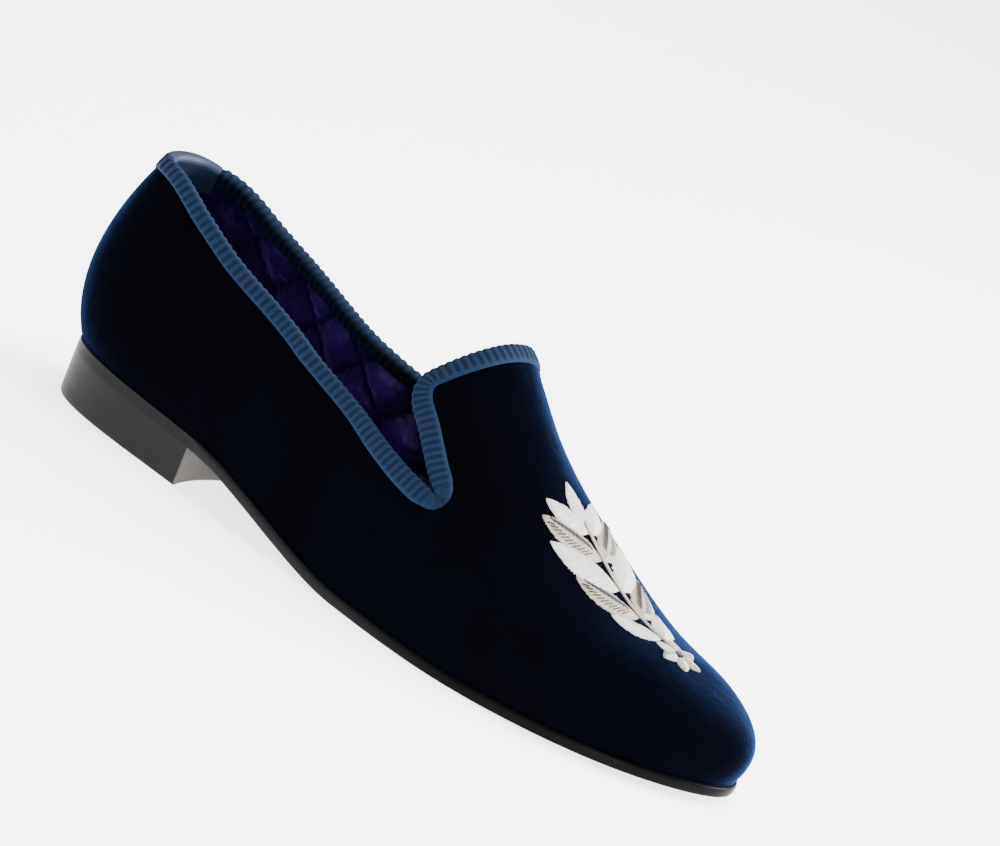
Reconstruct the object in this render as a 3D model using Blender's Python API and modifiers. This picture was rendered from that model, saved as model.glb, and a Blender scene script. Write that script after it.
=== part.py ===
"""Slipper loafer, the wearer's right shoe, as separate parts in one frame.

Metres. +X runs to the toe, +Y to the inner side of the foot, +Z up; the floor is z = 0.
The tables below are in millimetres, with X counted from the back of the sole.
"""
import bpy
import bmesh
import numpy as np

NAME = "slipper_loafer"
MM = 0.001
MIDDLE = (142.3, -0.7)      # centre of the whole shoe in X and Y, which becomes the origin

GAP = 0.3                   # clearance between neighbouring parts
FOLD_GAP = 0.4              # clearance of the folded strips, whose curves are tighter
WALL = 2.4                  # velvet, backing and lining together
SOLE_THICK = 3.7
SOLE_EDGE = 1.0             # how far the sole stands out past the feather line
INSOLE_THICK = 2.0
INSOLE_INSET = 3.2

SEAT_BACK = 16.0            # underside of the sole above the floor, at the back of the heel
SEAT_FRONT = 13.5           # the same at the front face of the heel
HEEL_LENGTH = 79.5
ARCH = 1.05                 # how steeply the waist leaves the heel
TREAD_BACK = 160.0          # the sole lies flat on the floor from here
TREAD_FRONT = 196.0         # to here
TOE_END = 290.0
TOE_SPRING = 3.3
HEEL_TAPER = 0.8
HEEL_HOLLOW = 4.6           # depth of the curve in the front face of the heel

BINDING_WIDE = 3.8          # how far the ribbon reaches in from the edge on the quarters
TONGUE_WIDE = 5.2           # the same round the tongue
BINDING_THICK = 0.8
TAB_AT = 12.0               # the heel tab reaches forward to here on both sides
TAB_WIDE = 8.5
TAB_DEEP = 13.0             # its reach down the inside
TAB_THICK = 1.0
NOTCH_AT = 174.0            # the notches between quarter and tongue end here
NOTCH_ROUND = 1.4
EASE_AT = 120.0
TONGUE_ROUND = 8.0
TONGUE_TOP = 100.6          # the top of the tongue is cut square to its slope: x - TONGUE_LEAN * z
TONGUE_LEAN = 0.56

# One row per section of the last, from the back of the heel to the toe. The wall of a section leaves
# the feather line (at, lateral or medial), swells by flare and ends at its crest (crest_at, crest_y, up).
LAST_COLUMNS = ("at", "lateral", "medial", "crest_at", "crest_y", "up", "rise", "flare", "reach", "drop")
LAST_ROWS = (
    (4, 0, 0, 8, 0, 92, 0.31, 15.4, 9, 18),
    (14, 21.4, 23.8, 14.5, 0, 92, 0.31, 14.7, 10, 18),
    (38, 31, 30.3, 42, 0, 90, 0.32, 11.4, 8, 21),
    (72, 35.3, 27.5, 74, 0, 84, 0.38, 5, 5, 22),
    (106, 39.4, 24, 107, 0, 80, 0.40, 5, 8, 18),
    (138, 42.4, 28.4, 137, 7.5, 93, 0.45, 6, 20, 0.2),
    (172, 47.4, 40, 170, 2.5, 75.3, 0.50, 6.8, 22.3, 0.8),
    (205, 48.7, 47, 202, 3, 52.8, 0.55, 5.9, 28.4, 1),
    (235, 42.5, 46, 230, 4, 38.5, 0.60, 5.9, 28.4, 1),
    (262, 29.9, 36, 247, 5, 35.5, 0.63, 7, 24, 2),
    (279, 13.3, 22, 253, 5, 34.1, 0.65, 8, 22, 4.6),
    (286, -5, 5, 254.5, 5, 33.7, 0.65, 8, 22, 6),
)
OPEN_SHARE = 0.51           # behind the tongue the crest stands out by this share of the half width
OPEN_BACK = 98.0            # the share falls to nothing from here
OPEN_FRONT = 137.0          # to here
# Height of the cut edge of the quarters above the floor.
COLLAR_COLUMNS = ("at", "lateral", "medial")
COLLAR_ROWS = (
    (-8, 84.0, 84.0),
    (4, 84.0, 84.0),
    (18, 83.4, 82.6),
    (40, 76.6, 75.5),
    (60, 70.0, 70.7),
    (80, 65.2, 66.0),
    (100, 60.6, 61.7),
    (120, 56.0, 58.1),
    (140, 52.0, 54.8),
    (160, 48.4, 51.4),
    (180, 45.2, 48.0),
)
# Half width of the tongue either side of the crest.
TONGUE_COLUMNS = ("at", "lateral", "medial")
TONGUE_ROWS = (
    (130, 29.7, 11.5),
    (141, 33.4, 14.0),
    (146, 35.2, 16.0),
    (156, 37.0, 21.5),
    (166, 38.4, 27.3),
    (172, 39.1, 31.0),
    (190, 44.0, 39.5),
)

OUTER = -1                  # the side of the foot the small toe is on
INNER = 1
PARTS = bpy.data.collections.new(NAME)


def columns(names, rows):
    """A table as one array for each named column."""
    return dict(zip(names, np.array(rows, float).T))


LAST = columns(LAST_COLUMNS, LAST_ROWS)
COLLAR = columns(COLLAR_COLUMNS, COLLAR_ROWS)
TONGUE = columns(TONGUE_COLUMNS, TONGUE_ROWS)


def curve_through(x, xs, ys):
    """A smooth curve through the points of a table, read at x."""
    slope = np.gradient(ys, xs)
    k = np.clip(np.searchsorted(xs, x, side="right") - 1, 0, len(xs) - 2)
    wide = xs[k + 1] - xs[k]
    s = np.clip((x - xs[k]) / wide, 0.0, 1.0)
    start = ys[k] * (1 + 2 * s) * (1 - s) ** 2 + slope[k] * wide * s * (1 - s) ** 2
    end = ys[k + 1] * s * s * (3 - 2 * s) - slope[k + 1] * wide * s * s * (1 - s)
    return start + end


class Ring:
    """A closed cubic curve through the rows of the last: up the outer side and back down the inner."""

    def __init__(self):
        shared = [LAST[n] for n in LAST_COLUMNS[3:]]
        outer = np.column_stack([LAST["at"], -LAST["lateral"], *shared])
        inner = np.column_stack([LAST["at"], LAST["medial"], *shared])
        self.rows = np.vstack([outer, inner[-2:0:-1]])
        wide = 0.5 * (LAST["lateral"] + LAST["medial"])
        step = np.hypot(np.diff(LAST["at"]), np.diff(wide)) ** 0.75
        self.step = np.concatenate([step, step[::-1]])
        self.knots = np.concatenate([[0.0], np.cumsum(self.step)])
        self.length = self.knots[-1]
        count = len(self.rows)
        i = np.arange(count)
        before = np.roll(self.step, 1)
        matrix = np.zeros((count, count))
        matrix[i, i] = 2 * (before + self.step)
        matrix[i, (i - 1) % count] = before
        matrix[i, (i + 1) % count] = self.step
        slope = (np.roll(self.rows, -1, axis=0) - self.rows) / self.step[:, None]
        self.bend = np.linalg.solve(matrix, 6 * (slope - np.roll(slope, 1, axis=0)))

    def at(self, u):
        u = np.mod(u, self.length)
        k = np.clip(np.searchsorted(self.knots, u, side="right") - 1, 0, len(self.rows) - 1)
        n = (k + 1) % len(self.rows)
        h = self.step[k][..., None]
        s = (u - self.knots[k])[..., None]
        w = h - s
        bent = (self.bend[k] * w ** 3 + self.bend[n] * s ** 3) / (6 * h)
        return (bent + (self.rows[k] / h - self.bend[k] * h / 6) * w
                + (self.rows[n] / h - self.bend[n] * h / 6) * s)


RING = Ring()
TOE = RING.length / 2       # a place along one side runs from 0 at the back of the heel to TOE


def sole_under(x):
    """Height of the underside of the sole: seat, waist, flat tread, toe spring."""
    slope = (SEAT_FRONT - SEAT_BACK) / HEEL_LENGTH
    span = TREAD_BACK - HEEL_LENGTH
    s = np.clip((x - HEEL_LENGTH) / span, 0.0, 1.0)
    waist = SEAT_FRONT * (1 + 2 * s) * (1 - s) ** 2 + slope * ARCH * span * s * (1 - s) ** 2
    e = np.clip((x - TREAD_FRONT) / (TOE_END - TREAD_FRONT), 0.0, None)
    front = np.where(x < TREAD_BACK, waist, TOE_SPRING * e * e)
    return np.where(x < HEEL_LENGTH, SEAT_BACK + slope * x, front)


def ease(s):
    """A smooth step from 0 to 1."""
    s = np.clip(s, 0.0, 1.0)
    return s * s * (3 - 2 * s)


def unit(v):
    return v / np.maximum(np.linalg.norm(v, axis=-1, keepdims=True), 1e-9)


def bezier(a, b, c, d, s):
    return a * (1 - s) ** 3 + 3 * b * s * (1 - s) ** 2 + 3 * c * s * s * (1 - s) + d * s ** 3


def along(side, v):
    return v if side == OUTER else RING.length - v


def outline(side, v, out):
    """The feather line in plan, moved outwards by out."""
    u = along(side, np.asarray(v, float))
    xy = RING.at(u)[..., :2]
    d = RING.at(u + 0.01)[..., :2] - RING.at(u - 0.01)[..., :2]
    return xy + out * unit(np.stack([d[..., 1], -d[..., 0]], -1))


def skin(side, v, t):
    """A point on the outside of the upper: t is 0 on the feather line and 1 on the crest."""
    u = along(side, np.asarray(v, float))
    x, y, crest_x, crest_y, up, rise, flare, reach, drop = np.moveaxis(RING.at(u), -1, 0)
    share = OPEN_SHARE * ease((OPEN_FRONT - x) / (OPEN_FRONT - OPEN_BACK))
    low = np.stack([x, y, sole_under(x) + SOLE_THICK + GAP], -1)
    high = np.stack([crest_x, crest_y + (y - crest_y) * share, up], -1)
    d = RING.at(u + 0.01)[..., :2] - RING.at(u - 0.01)[..., :2]
    normal = unit(np.stack([d[..., 1], -d[..., 0], 0 * x], -1))
    spoke = unit((low - high) * (1, 1, 0))
    open_part = np.clip(share / 0.3, 0.0, 1.0)[..., None]
    away = unit(spoke * (1 - open_part) + normal * open_part)
    z = np.array((0.0, 0.0, 1.0))
    first = low + normal * flare[..., None] + z * (rise * (up - low[..., 2]))[..., None]
    second = high + away * reach[..., None] - z * drop[..., None]
    return bezier(low, first, second, high, np.asarray(t, float)[..., None])


def slopes(side, v, t):
    """How the skin runs along the foot and up the wall, and its outward normal."""
    e = 0.002
    dv = (skin(side, v + e, t) - skin(side, v - e, t)) / (2 * e)
    dt = (skin(side, v, t + e) - skin(side, v, t - e)) / (2 * e)
    return dv, dt, unit(np.cross(dv, dt)) * -side


def root(f, low, high):
    """Where f crosses zero between low and high, for arrays, by halving."""
    low, high = np.broadcast_arrays(np.asarray(low, float), np.asarray(high, float))
    sign = np.sign(f(low))
    for _ in range(45):
        mid = 0.5 * (low + high)
        same = np.sign(f(mid)) == sign
        low = np.where(same, mid, low)
        high = np.where(same, high, mid)
    return 0.5 * (low + high)


def place_of(x):
    """The place along the side where the feather line is at x."""
    return root(lambda v: RING.at(v)[..., 0] - x, 0 * np.asarray(x, float), TOE)


def collar_t(side, v):
    v = np.asarray(v, float)
    heights = COLLAR["lateral"] if side == OUTER else COLLAR["medial"]

    def above(t):
        p = skin(side, v, t)
        return p[..., 2] - curve_through(p[..., 0], COLLAR["at"], heights)

    return root(above, 0 * v, 0 * v + 1)


def tongue_t(side, v):
    v = np.asarray(v, float)
    middle = RING.at(along(side, v))[..., 3]
    half = TONGUE["lateral"] if side == OUTER else TONGUE["medial"]

    def beyond(t):
        p = skin(side, v, t)
        return np.abs(p[..., 1] - middle) - curve_through(p[..., 0], TONGUE["at"], half)

    return root(beyond, 0 * v + 0.2, 0 * v + 1)


def top_v(side, t):
    t = np.asarray(t, float)

    def below(v):
        p = skin(side, v, t)
        return p[..., 0] - TONGUE_LEAN * p[..., 2] - TONGUE_TOP

    return root(below, 0 * t + place_of(118.0), 0 * t + place_of(176.0))


def size(v):
    return np.linalg.norm(v, axis=-1)


class Topline:
    """The cut edge of one half of the upper as places (v, t): quarter, notch, tongue side, corner, top."""

    def __init__(self, side):
        self.side = side
        corner_t = np.array(0.6)
        for _ in range(30):
            corner_v = top_v(side, corner_t)
            corner_t = tongue_t(side, corner_v)

        tip_v = place_of(np.array(NOTCH_AT))
        along_v, up, _ = slopes(side, tip_v, tongue_t(side, tip_v))
        self.reach_v = NOTCH_ROUND / size(along_v)
        self.end = tip_v - self.reach_v
        self.high_t = tongue_t(side, self.end)
        self.low_t = self.high_t - 2 * NOTCH_ROUND / size(up)
        self.tip = np.array([tip_v, 0.5 * (self.low_t + self.high_t)])
        self.lift = self.low_t - collar_t(side, self.end)
        # The corner of the tongue: cut back along both edges and joined by a rounded curve.
        d = 0.05
        corner = skin(side, corner_v, corner_t)
        side_dir = skin(side, corner_v + d, tongue_t(side, corner_v + d)) - corner
        top_dir = skin(side, top_v(side, corner_t + 0.01), corner_t + 0.01) - corner
        angle = np.arccos(np.sum(unit(side_dir) * unit(top_dir)))
        back = TONGUE_ROUND / np.tan(angle / 2)
        self.side_v = corner_v + d * back / size(side_dir)
        self.top_t = corner_t + 0.01 * back / size(top_dir)
        self.corner = np.array([corner_v, corner_t])

    def quarter(self, v):
        """The edge of the quarter, eased so that it runs into the notch."""
        start = place_of(np.array(EASE_AT))
        near = ease((v - start) / (self.end - start))
        return np.column_stack([v, collar_t(self.side, v) + self.lift * near])

    def notch(self, turn):
        """The rounded end of the notch, turn running from -1 on the quarter to 1 on the tongue."""
        a = np.asarray(turn, float) * np.pi / 2
        half = 0.5 * (self.high_t - self.low_t)
        return np.column_stack([self.end + self.reach_v * np.cos(a), self.tip[1] + half * np.sin(a)])

    def tongue_side(self, s):
        v = self.end + (self.side_v - self.end) * np.asarray(s, float)
        return np.column_stack([v, tongue_t(self.side, v)])

    def rounded(self, s):
        a = np.array([self.side_v, tongue_t(self.side, self.side_v)])
        b = np.array([top_v(self.side, self.top_t), self.top_t])
        p = a + (self.corner - a) * 0.6
        q = b + (self.corner - b) * 0.6
        return bezier(a, p, q, b, np.asarray(s, float)[:, None])

    def top(self, s):
        t = self.top_t + (1 - self.top_t) * np.asarray(s, float)
        return np.column_stack([top_v(self.side, t), t])


def steps(count):
    return np.linspace(0.0, 1.0, count + 1)


class Sheet:
    """Quads gathered into one mesh, with the shared edges of neighbouring grids joined."""

    def __init__(self):
        self.mesh = bmesh.new()

    def grid(self, points, flip=False):
        points = (points - np.array((*MIDDLE, 0.0))) * MM
        verts = [[self.mesh.verts.new(p) for p in row] for row in points]
        for a, b in zip(verts[:-1], verts[1:]):
            for k in range(len(a) - 1):
                quad = (a[k], b[k], b[k + 1], a[k + 1])
                self.mesh.faces.new(quad[::-1] if flip else quad)

    def build(self, name, colour, rough, thick=0.0):
        bmesh.ops.remove_doubles(self.mesh, verts=self.mesh.verts, dist=0.00002)
        bmesh.ops.dissolve_degenerate(self.mesh, edges=self.mesh.edges, dist=0.000005)
        data = bpy.data.meshes.new(name)
        self.mesh.to_mesh(data)
        self.mesh.free()
        for face in data.polygons:
            face.use_smooth = True
        obj = bpy.data.objects.new(name, data)
        PARTS.objects.link(obj)
        data.materials.append(material(name, colour, rough))
        if thick:
            shell = obj.modifiers.new("wall", "SOLIDIFY")
            shell.thickness = thick * MM
            shell.offset = -1.0
            shell.use_even_offset = True
            shell.use_quality_normals = True
        return obj


def material(name, colour, rough):
    made = bpy.data.materials.new(name)
    made.use_nodes = True
    shader = made.node_tree.nodes["Principled BSDF"]
    shader.inputs["Base Color"].default_value = (*colour, 1.0)
    shader.inputs["Roughness"].default_value = rough
    return made


def patch(left, right, near, far):
    """A grid filled in between four edges: left and right run from near to far."""
    run = steps(len(left) - 1)[:, None, None]
    a = steps(len(near) - 1)[None, :, None]
    ruled = left[:, None] * (1 - a) + right[:, None] * a + near[None] * (1 - run) + far[None] * run
    near_corners = left[0] * (1 - a) + right[0] * a
    far_corners = left[-1] * (1 - a) + right[-1] * a
    return ruled - near_corners * (1 - run) - far_corners * run


def make_upper():
    """The velvet upper: quarters and vamp sides below, vamp crown above, tongue behind the notches."""
    sheet = Sheet()
    for side in (OUTER, INNER):
        flip = side == INNER
        edge = Topline(side)
        front = edge.tip[0] + (TOE - edge.tip[0]) * steps(20)
        share = (front - front[0]) / (TOE - front[0])
        join = np.column_stack([front, edge.tip[1] + (0.52 - edge.tip[1]) * share])
        quarter = edge.quarter(edge.end * steps(24) ** 1.35)[:-1]
        low = np.concatenate([quarter, edge.notch([-1, -0.6, -0.25]), join])
        up = steps(7)
        sheet.grid(skin(side, low[:, :1] + 0 * up, low[:, 1:] * up), flip)
        up = steps(6)
        sheet.grid(skin(side, join[:, :1] + 0 * up, join[:, 1:] + (1 - join[:, 1:]) * up), flip)
        # The tongue fills the space between its two cut edges, the crest and the last vamp section.
        left = np.concatenate([edge.notch([0, 0.4, 1])[:-1], edge.tongue_side(steps(7))[:-1],
                               edge.rounded([0, 0.25, 0.5])])
        far = np.concatenate([edge.rounded([0.5, 0.75]), edge.top(steps(4))])
        near = np.column_stack([0 * up + edge.tip[0], edge.tip[1] + (1 - edge.tip[1]) * up])
        crest = near[-1] + (far[-1] - near[-1]) * steps(len(left) - 1)[:, None]
        inside = patch(left, crest, near, far)
        sheet.grid(skin(side, inside[..., 0], inside[..., 1]), not flip)
    return sheet.build("upper", (0.006, 0.010, 0.030), 0.9, WALL)


# Sections of the sole: round the back of the heel, along the foot by x, and round the toe.
BACK_V = (0.0, 0.6, 1.8, 3.2, 4.6, 6.0, 7.4, 8.8, 10.2)
SOLE_X = (16, 22, 30, 40, 52, 66, HEEL_LENGTH, 88, 96, 104, 112, 120, 128, 136, 144, 152, TREAD_BACK,
          172, 184, TREAD_FRONT, 206, 216, 226, 236, 245, 253, 260, 266, 271, 275, 278.5)
TOE_V = (4.2, 2.2, 0.8, 0.0)


def between(a, b, s):
    return a[:, None] + (b - a)[:, None] * s[None, :, None]


def flat_rows(out, lift):
    """A sheet between the two sides of the sole's outline, lift above the underside of the sole."""
    v = np.concatenate([BACK_V, place_of(np.array(SOLE_X, float)), TOE - np.array(TOE_V)])
    plan = between(outline(OUTER, v, out), outline(INNER, v, out), steps(5))
    return np.concatenate([plan, (sole_under(plan[..., 0]) + lift)[..., None]], -1)


def make_sole():
    sheet = Sheet()
    sheet.grid(flat_rows(SOLE_EDGE, 0.0), flip=True)
    return sheet.build("outsole", (0.012, 0.011, 0.012), 0.35, SOLE_THICK)


def make_insole():
    sheet = Sheet()
    sheet.grid(flat_rows(-INSOLE_INSET, SOLE_THICK + 2 * GAP), flip=True)
    return sheet.build("insole", (0.03, 0.02, 0.06), 0.7, INSOLE_THICK)


def make_heel():
    """The heel block: its top follows the seat, its bottom is flat, its front face is hollowed."""
    v = np.concatenate([BACK_V, place_of(np.linspace(16, HEEL_LENGTH, 10))])
    across = steps(12)
    foot = SOLE_EDGE - HEEL_TAPER
    layers = []
    for level, out in ((0.0, foot - 0.4), (0.12, foot), (1.0, SOLE_EDGE - 0.2)):
        plan = between(outline(OUTER, v, out), outline(INNER, v, out), across)
        near_front = np.clip((v - v[-5]) / (v[-1] - v[-5]), 0, 1)[:, None]
        plan[..., 0] -= HEEL_HOLLOW * near_front * (1 - (2 * across - 1) ** 2)[None]
        z = level * (sole_under(plan[..., 0]) - GAP)
        layers.append(np.concatenate([plan, z[..., None]], -1))
    sheet = Sheet()
    sheet.grid(layers[0], flip=True)
    sheet.grid(layers[-1])
    for a, b in zip(layers[:-1], layers[1:]):
        ring_a = np.concatenate([a[:, 0], a[-1, 1:], a[-2::-1, -1]])
        ring_b = np.concatenate([b[:, 0], b[-1, 1:], b[-2::-1, -1]])
        sheet.grid(np.stack([ring_a, ring_b], 1))
    return sheet.build("heel", (0.014, 0.013, 0.014), 0.4)


def into(side, place, far):
    """Walk from places on the cut edge into the fabric, square to the edge, by far millimetres."""
    tangent = np.gradient(skin(side, place[:, 0], place[:, 1]), axis=0)
    _, _, normal = slopes(side, place[:, 0], np.minimum(place[:, 1], 0.995))
    heading = unit(np.cross(normal, unit(tangent))) * side
    now = place.copy()
    for _ in range(6):
        dv, dt, _ = slopes(side, now[:, 0], np.minimum(now[:, 1], 0.995))
        a, b, c = np.sum(dv * dv, -1), np.sum(dv * dt, -1), np.sum(dt * dt, -1)
        p, q = np.sum(dv * heading, -1), np.sum(dt * heading, -1)
        det = a * c - b * b
        now[:, 0] += far / 6 * (c * p - b * q) / det
        now[:, 1] += far / 6 * (a * q - b * p) / det
    return now, heading


def folded(side, place, profile):
    """The section of a folded strip at each place: rows of (distance from the edge, height off the skin)."""
    rows = []
    _, heading = into(side, place, 0.0)
    for far, height in profile:
        far = np.broadcast_to(far, len(place))
        now, _ = into(side, place, np.maximum(far, 0.0))
        _, _, normal = slopes(side, now[:, 0], np.minimum(now[:, 1], 0.995))
        past = heading * np.minimum(far, 0.0)[:, None]
        rows.append(skin(side, now[:, 0], now[:, 1]) + past + normal * height)
    return np.stack(rows, 1)


def fold_profile(wide, deep, thick, bits):
    """A U over the cut edge, down the outside and the inside: its outer face, then its inner face."""
    o = FOLD_GAP + thick
    i = -WALL - FOLD_GAP
    down = [(wide * k / bits, o) for k in range(bits, 0, -1)]
    inside = [(deep * k / bits, i - thick) for k in range(1, bits + 1)]
    outer = down + [(-o * 0.4, o * 0.9), (-o, -WALL / 2), (-o * 0.4, i - thick * 0.9)] + inside
    over = [(-FOLD_GAP, FOLD_GAP), (-FOLD_GAP, -WALL / 2), (-FOLD_GAP, i)]
    inner = [(far, FOLD_GAP) for far, _ in down] + over + [(far, i) for far, _ in inside]
    return outer, inner


def make_strip(name, runs, wide, deep, thick, bits, colour, rough, at_back=False):
    """A strip folded over the cut edge, one run a side. They meet at the tongue, or at the back."""
    sections = []
    for face in (0, 1):
        first, second = [folded(side, run, fold_profile(wide[side], deep, thick, bits)[face])
                         for side, run in runs]
        if at_back:
            first, second = second[::-1], first[::-1]
        meet = 0.5 * (first[-1:] + second[-1:])
        sections.append(np.concatenate([first[:-1], meet, second[-2::-1]]))
    outer, inner = sections
    ring = np.concatenate([outer, inner[:, ::-1], outer[:, :1]], 1)
    sheet = Sheet()
    sheet.grid(ring)
    sheet.grid(np.stack([outer[0], inner[0]]), flip=True)
    sheet.grid(np.stack([outer[-1], inner[-1]]))
    return sheet.build(name, colour, rough)


def tab_end(side, x):
    def beyond(v):
        return skin(side, v, collar_t(side, v))[..., 0] - x

    return root(beyond, np.array(0.0), place_of(np.array(60.0)))


def make_binding():
    runs = []
    wide = {}
    for side in (OUTER, INNER):
        edge = Topline(side)
        start = tab_end(side, TAB_AT + GAP)
        back = edge.quarter(start + (edge.end - start) * steps(24))[:-1]
        front = np.concatenate([
            edge.notch(np.linspace(-1, 1, 7))[:-1],
            edge.tongue_side(steps(8))[:-1],
            edge.rounded(steps(6))[:-1],
            edge.top(steps(5)),
        ])
        runs.append((side, np.concatenate([back, front])))
        widen = BINDING_WIDE + (TONGUE_WIDE - BINDING_WIDE) * ease((steps(len(back) - 1) - 0.7) / 0.3)
        wide[side] = np.concatenate([widen, np.full(len(front), TONGUE_WIDE)])
    colour = (0.012, 0.035, 0.085)
    return make_strip("collar_binding", runs, wide, BINDING_WIDE, BINDING_THICK, 1, colour, 0.7)


def make_tab():
    runs = [(side, Topline(side).quarter(tab_end(side, TAB_AT) * steps(9))) for side in (OUTER, INNER)]
    wide = {side: TAB_WIDE for side in (OUTER, INNER)}
    colour = (0.010, 0.016, 0.040)
    return make_strip("heel_tab", runs, wide, TAB_DEEP, TAB_THICK, 3, colour, 0.45, at_back=True)


def main():
    for old in list(bpy.data.objects):
        bpy.data.objects.remove(old, do_unlink=True)
    bpy.context.scene.collection.children.link(PARTS)
    make_sole()
    make_heel()
    make_insole()
    make_upper()
    make_binding()
    make_tab()


main()
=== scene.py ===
# %% [markdown]
# # A velvet slipper loafer
#
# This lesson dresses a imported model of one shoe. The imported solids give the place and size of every
# part. Each step below looks at one part of the real shoe, says how it could be made in Blender, and
# makes it: the velvet upper, the quilted lining, the ribbed ribbon, the leather parts and the embroidery.

import math

import bmesh
import bpy
import numpy as np
from mathutils import Matrix, Vector
from mathutils.bvhtree import BVHTree


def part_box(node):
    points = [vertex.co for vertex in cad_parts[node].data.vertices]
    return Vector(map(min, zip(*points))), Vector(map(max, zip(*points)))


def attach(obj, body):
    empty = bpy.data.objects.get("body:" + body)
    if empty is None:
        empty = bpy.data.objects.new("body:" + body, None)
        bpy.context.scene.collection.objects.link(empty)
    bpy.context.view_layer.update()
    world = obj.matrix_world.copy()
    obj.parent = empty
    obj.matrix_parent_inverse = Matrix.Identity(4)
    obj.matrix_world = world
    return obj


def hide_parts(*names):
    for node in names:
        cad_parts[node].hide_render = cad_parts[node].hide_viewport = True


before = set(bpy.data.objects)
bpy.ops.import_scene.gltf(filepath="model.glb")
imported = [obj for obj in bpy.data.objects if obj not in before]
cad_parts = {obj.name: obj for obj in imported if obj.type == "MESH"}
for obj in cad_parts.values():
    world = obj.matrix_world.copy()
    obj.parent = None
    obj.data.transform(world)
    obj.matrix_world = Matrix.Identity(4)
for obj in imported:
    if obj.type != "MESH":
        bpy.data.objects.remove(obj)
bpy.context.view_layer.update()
print("solids in the frame:", sorted(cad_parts))

# %% [markdown]
# A shoe is made over a last, a block with the shape of the foot. The solids were cut from one function
# for the surface of that last, and the finishes follow the same surface, so its few sections are
# repeated here. The tables are in millimetres, with X counted from the back of the sole. The wall of a
# section starts at the feather line, where upper meets sole, swells by `flare` and ends at the crest.

# %% Sizes and sections of the last
MM = 0.001
SOLE_THICK = 3.7
SOLE_EDGE = 1.0
GAP = 0.3
WALL = 2.4
SEAT_BACK = 16.0
SEAT_FRONT = 13.5
HEEL_LENGTH = 79.5
ARCH = 1.05
TREAD_BACK = 160.0
TREAD_FRONT = 196.0
TOE_END = 290.0
TOE_SPRING = 3.3
OPEN_SHARE = 0.51
OPEN_BACK = 98.0
OPEN_FRONT = 137.0
SIDE_SHIFT = -0.7
OUTER, INNER = -1, 1
SIDES = {OUTER: "lateral", INNER: "medial"}

LAST_COLUMNS = ("at", "lateral", "medial", "crest_at", "crest_y", "up", "rise", "flare", "reach", "drop")
LAST_ROWS = (
    (4, 0, 0, 8, 0, 92, 0.31, 15.4, 9, 18),
    (14, 21.4, 23.8, 14.5, 0, 92, 0.31, 14.7, 10, 18),
    (38, 31, 30.3, 42, 0, 90, 0.32, 11.4, 8, 21),
    (72, 35.3, 27.5, 74, 0, 84, 0.38, 5, 5, 22),
    (106, 39.4, 24, 107, 0, 80, 0.40, 5, 8, 18),
    (138, 42.4, 28.4, 137, 7.5, 93, 0.45, 6, 20, 0.2),
    (172, 47.4, 40, 170, 2.5, 75.3, 0.50, 6.8, 22.3, 0.8),
    (205, 48.7, 47, 202, 3, 52.8, 0.55, 5.9, 28.4, 1),
    (235, 42.5, 46, 230, 4, 38.5, 0.60, 5.9, 28.4, 1),
    (262, 29.9, 36, 247, 5, 35.5, 0.63, 7, 24, 2),
    (279, 13.3, 22, 253, 5, 34.1, 0.65, 8, 22, 4.6),
    (286, -5, 5, 254.5, 5, 33.7, 0.65, 8, 22, 6),
)
LAST = dict(zip(LAST_COLUMNS, np.array(LAST_ROWS, float).T))

# The back of the sole lies at a known corner of its solid, so the tables find their place in the frame.
low_sole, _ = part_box("outsole")
MIDDLE = np.array([LAST["at"][0] - SOLE_EDGE - low_sole.x / MM, SIDE_SHIFT, 0.0])
print("origin of the tables:", MIDDLE.round(2))

# %% [markdown]
# The sections stand round the outline of the sole. One closed cubic curve through all of them, up the
# outer side and back down the inner, gives a section at any place in between, with no break at the heel
# or the toe. Its second derivatives come from one small linear system, as for any cubic spline.


# %% A smooth closed curve through the sections
class Ring:
    """A closed cubic curve through the rows of the last: up the outer side and back down the inner."""

    def __init__(self):
        shared = [LAST[n] for n in LAST_COLUMNS[3:]]
        outer = np.column_stack([LAST["at"], -LAST["lateral"], *shared])
        inner = np.column_stack([LAST["at"], LAST["medial"], *shared])
        self.rows = np.vstack([outer, inner[-2:0:-1]])
        wide = 0.5 * (LAST["lateral"] + LAST["medial"])
        step = np.hypot(np.diff(LAST["at"]), np.diff(wide)) ** 0.75
        self.step = np.concatenate([step, step[::-1]])
        self.knots = np.concatenate([[0.0], np.cumsum(self.step)])
        self.length = self.knots[-1]
        count = len(self.rows)
        i = np.arange(count)
        before = np.roll(self.step, 1)
        matrix = np.zeros((count, count))
        matrix[i, i] = 2 * (before + self.step)
        matrix[i, (i - 1) % count] = before
        matrix[i, (i + 1) % count] = self.step
        slope = (np.roll(self.rows, -1, axis=0) - self.rows) / self.step[:, None]
        self.bend = np.linalg.solve(matrix, 6 * (slope - np.roll(slope, 1, axis=0)))

    def at(self, u):
        u = np.mod(u, self.length)
        k = np.clip(np.searchsorted(self.knots, u, side="right") - 1, 0, len(self.rows) - 1)
        n = (k + 1) % len(self.rows)
        h = self.step[k][..., None]
        s = (u - self.knots[k])[..., None]
        w = h - s
        bent = (self.bend[k] * w ** 3 + self.bend[n] * s ** 3) / (6 * h)
        return (bent + (self.rows[k] / h - self.bend[k] * h / 6) * w
                + (self.rows[n] / h - self.bend[n] * h / 6) * s)


RING = Ring()
TOE = RING.length / 2
print("sections in the ring:", len(RING.rows))

# %% [markdown]
# The sole gives the foot its height: a sloping seat over the heel, a waist that runs down to the flat
# tread, and a toe that springs up a little. A few small helpers are needed for this and for most that
# follows.


# %% Helpers and the sole's profile
def ease(s):
    """A smooth step from 0 to 1."""
    s = np.clip(s, 0.0, 1.0)
    return s * s * (3 - 2 * s)


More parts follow.
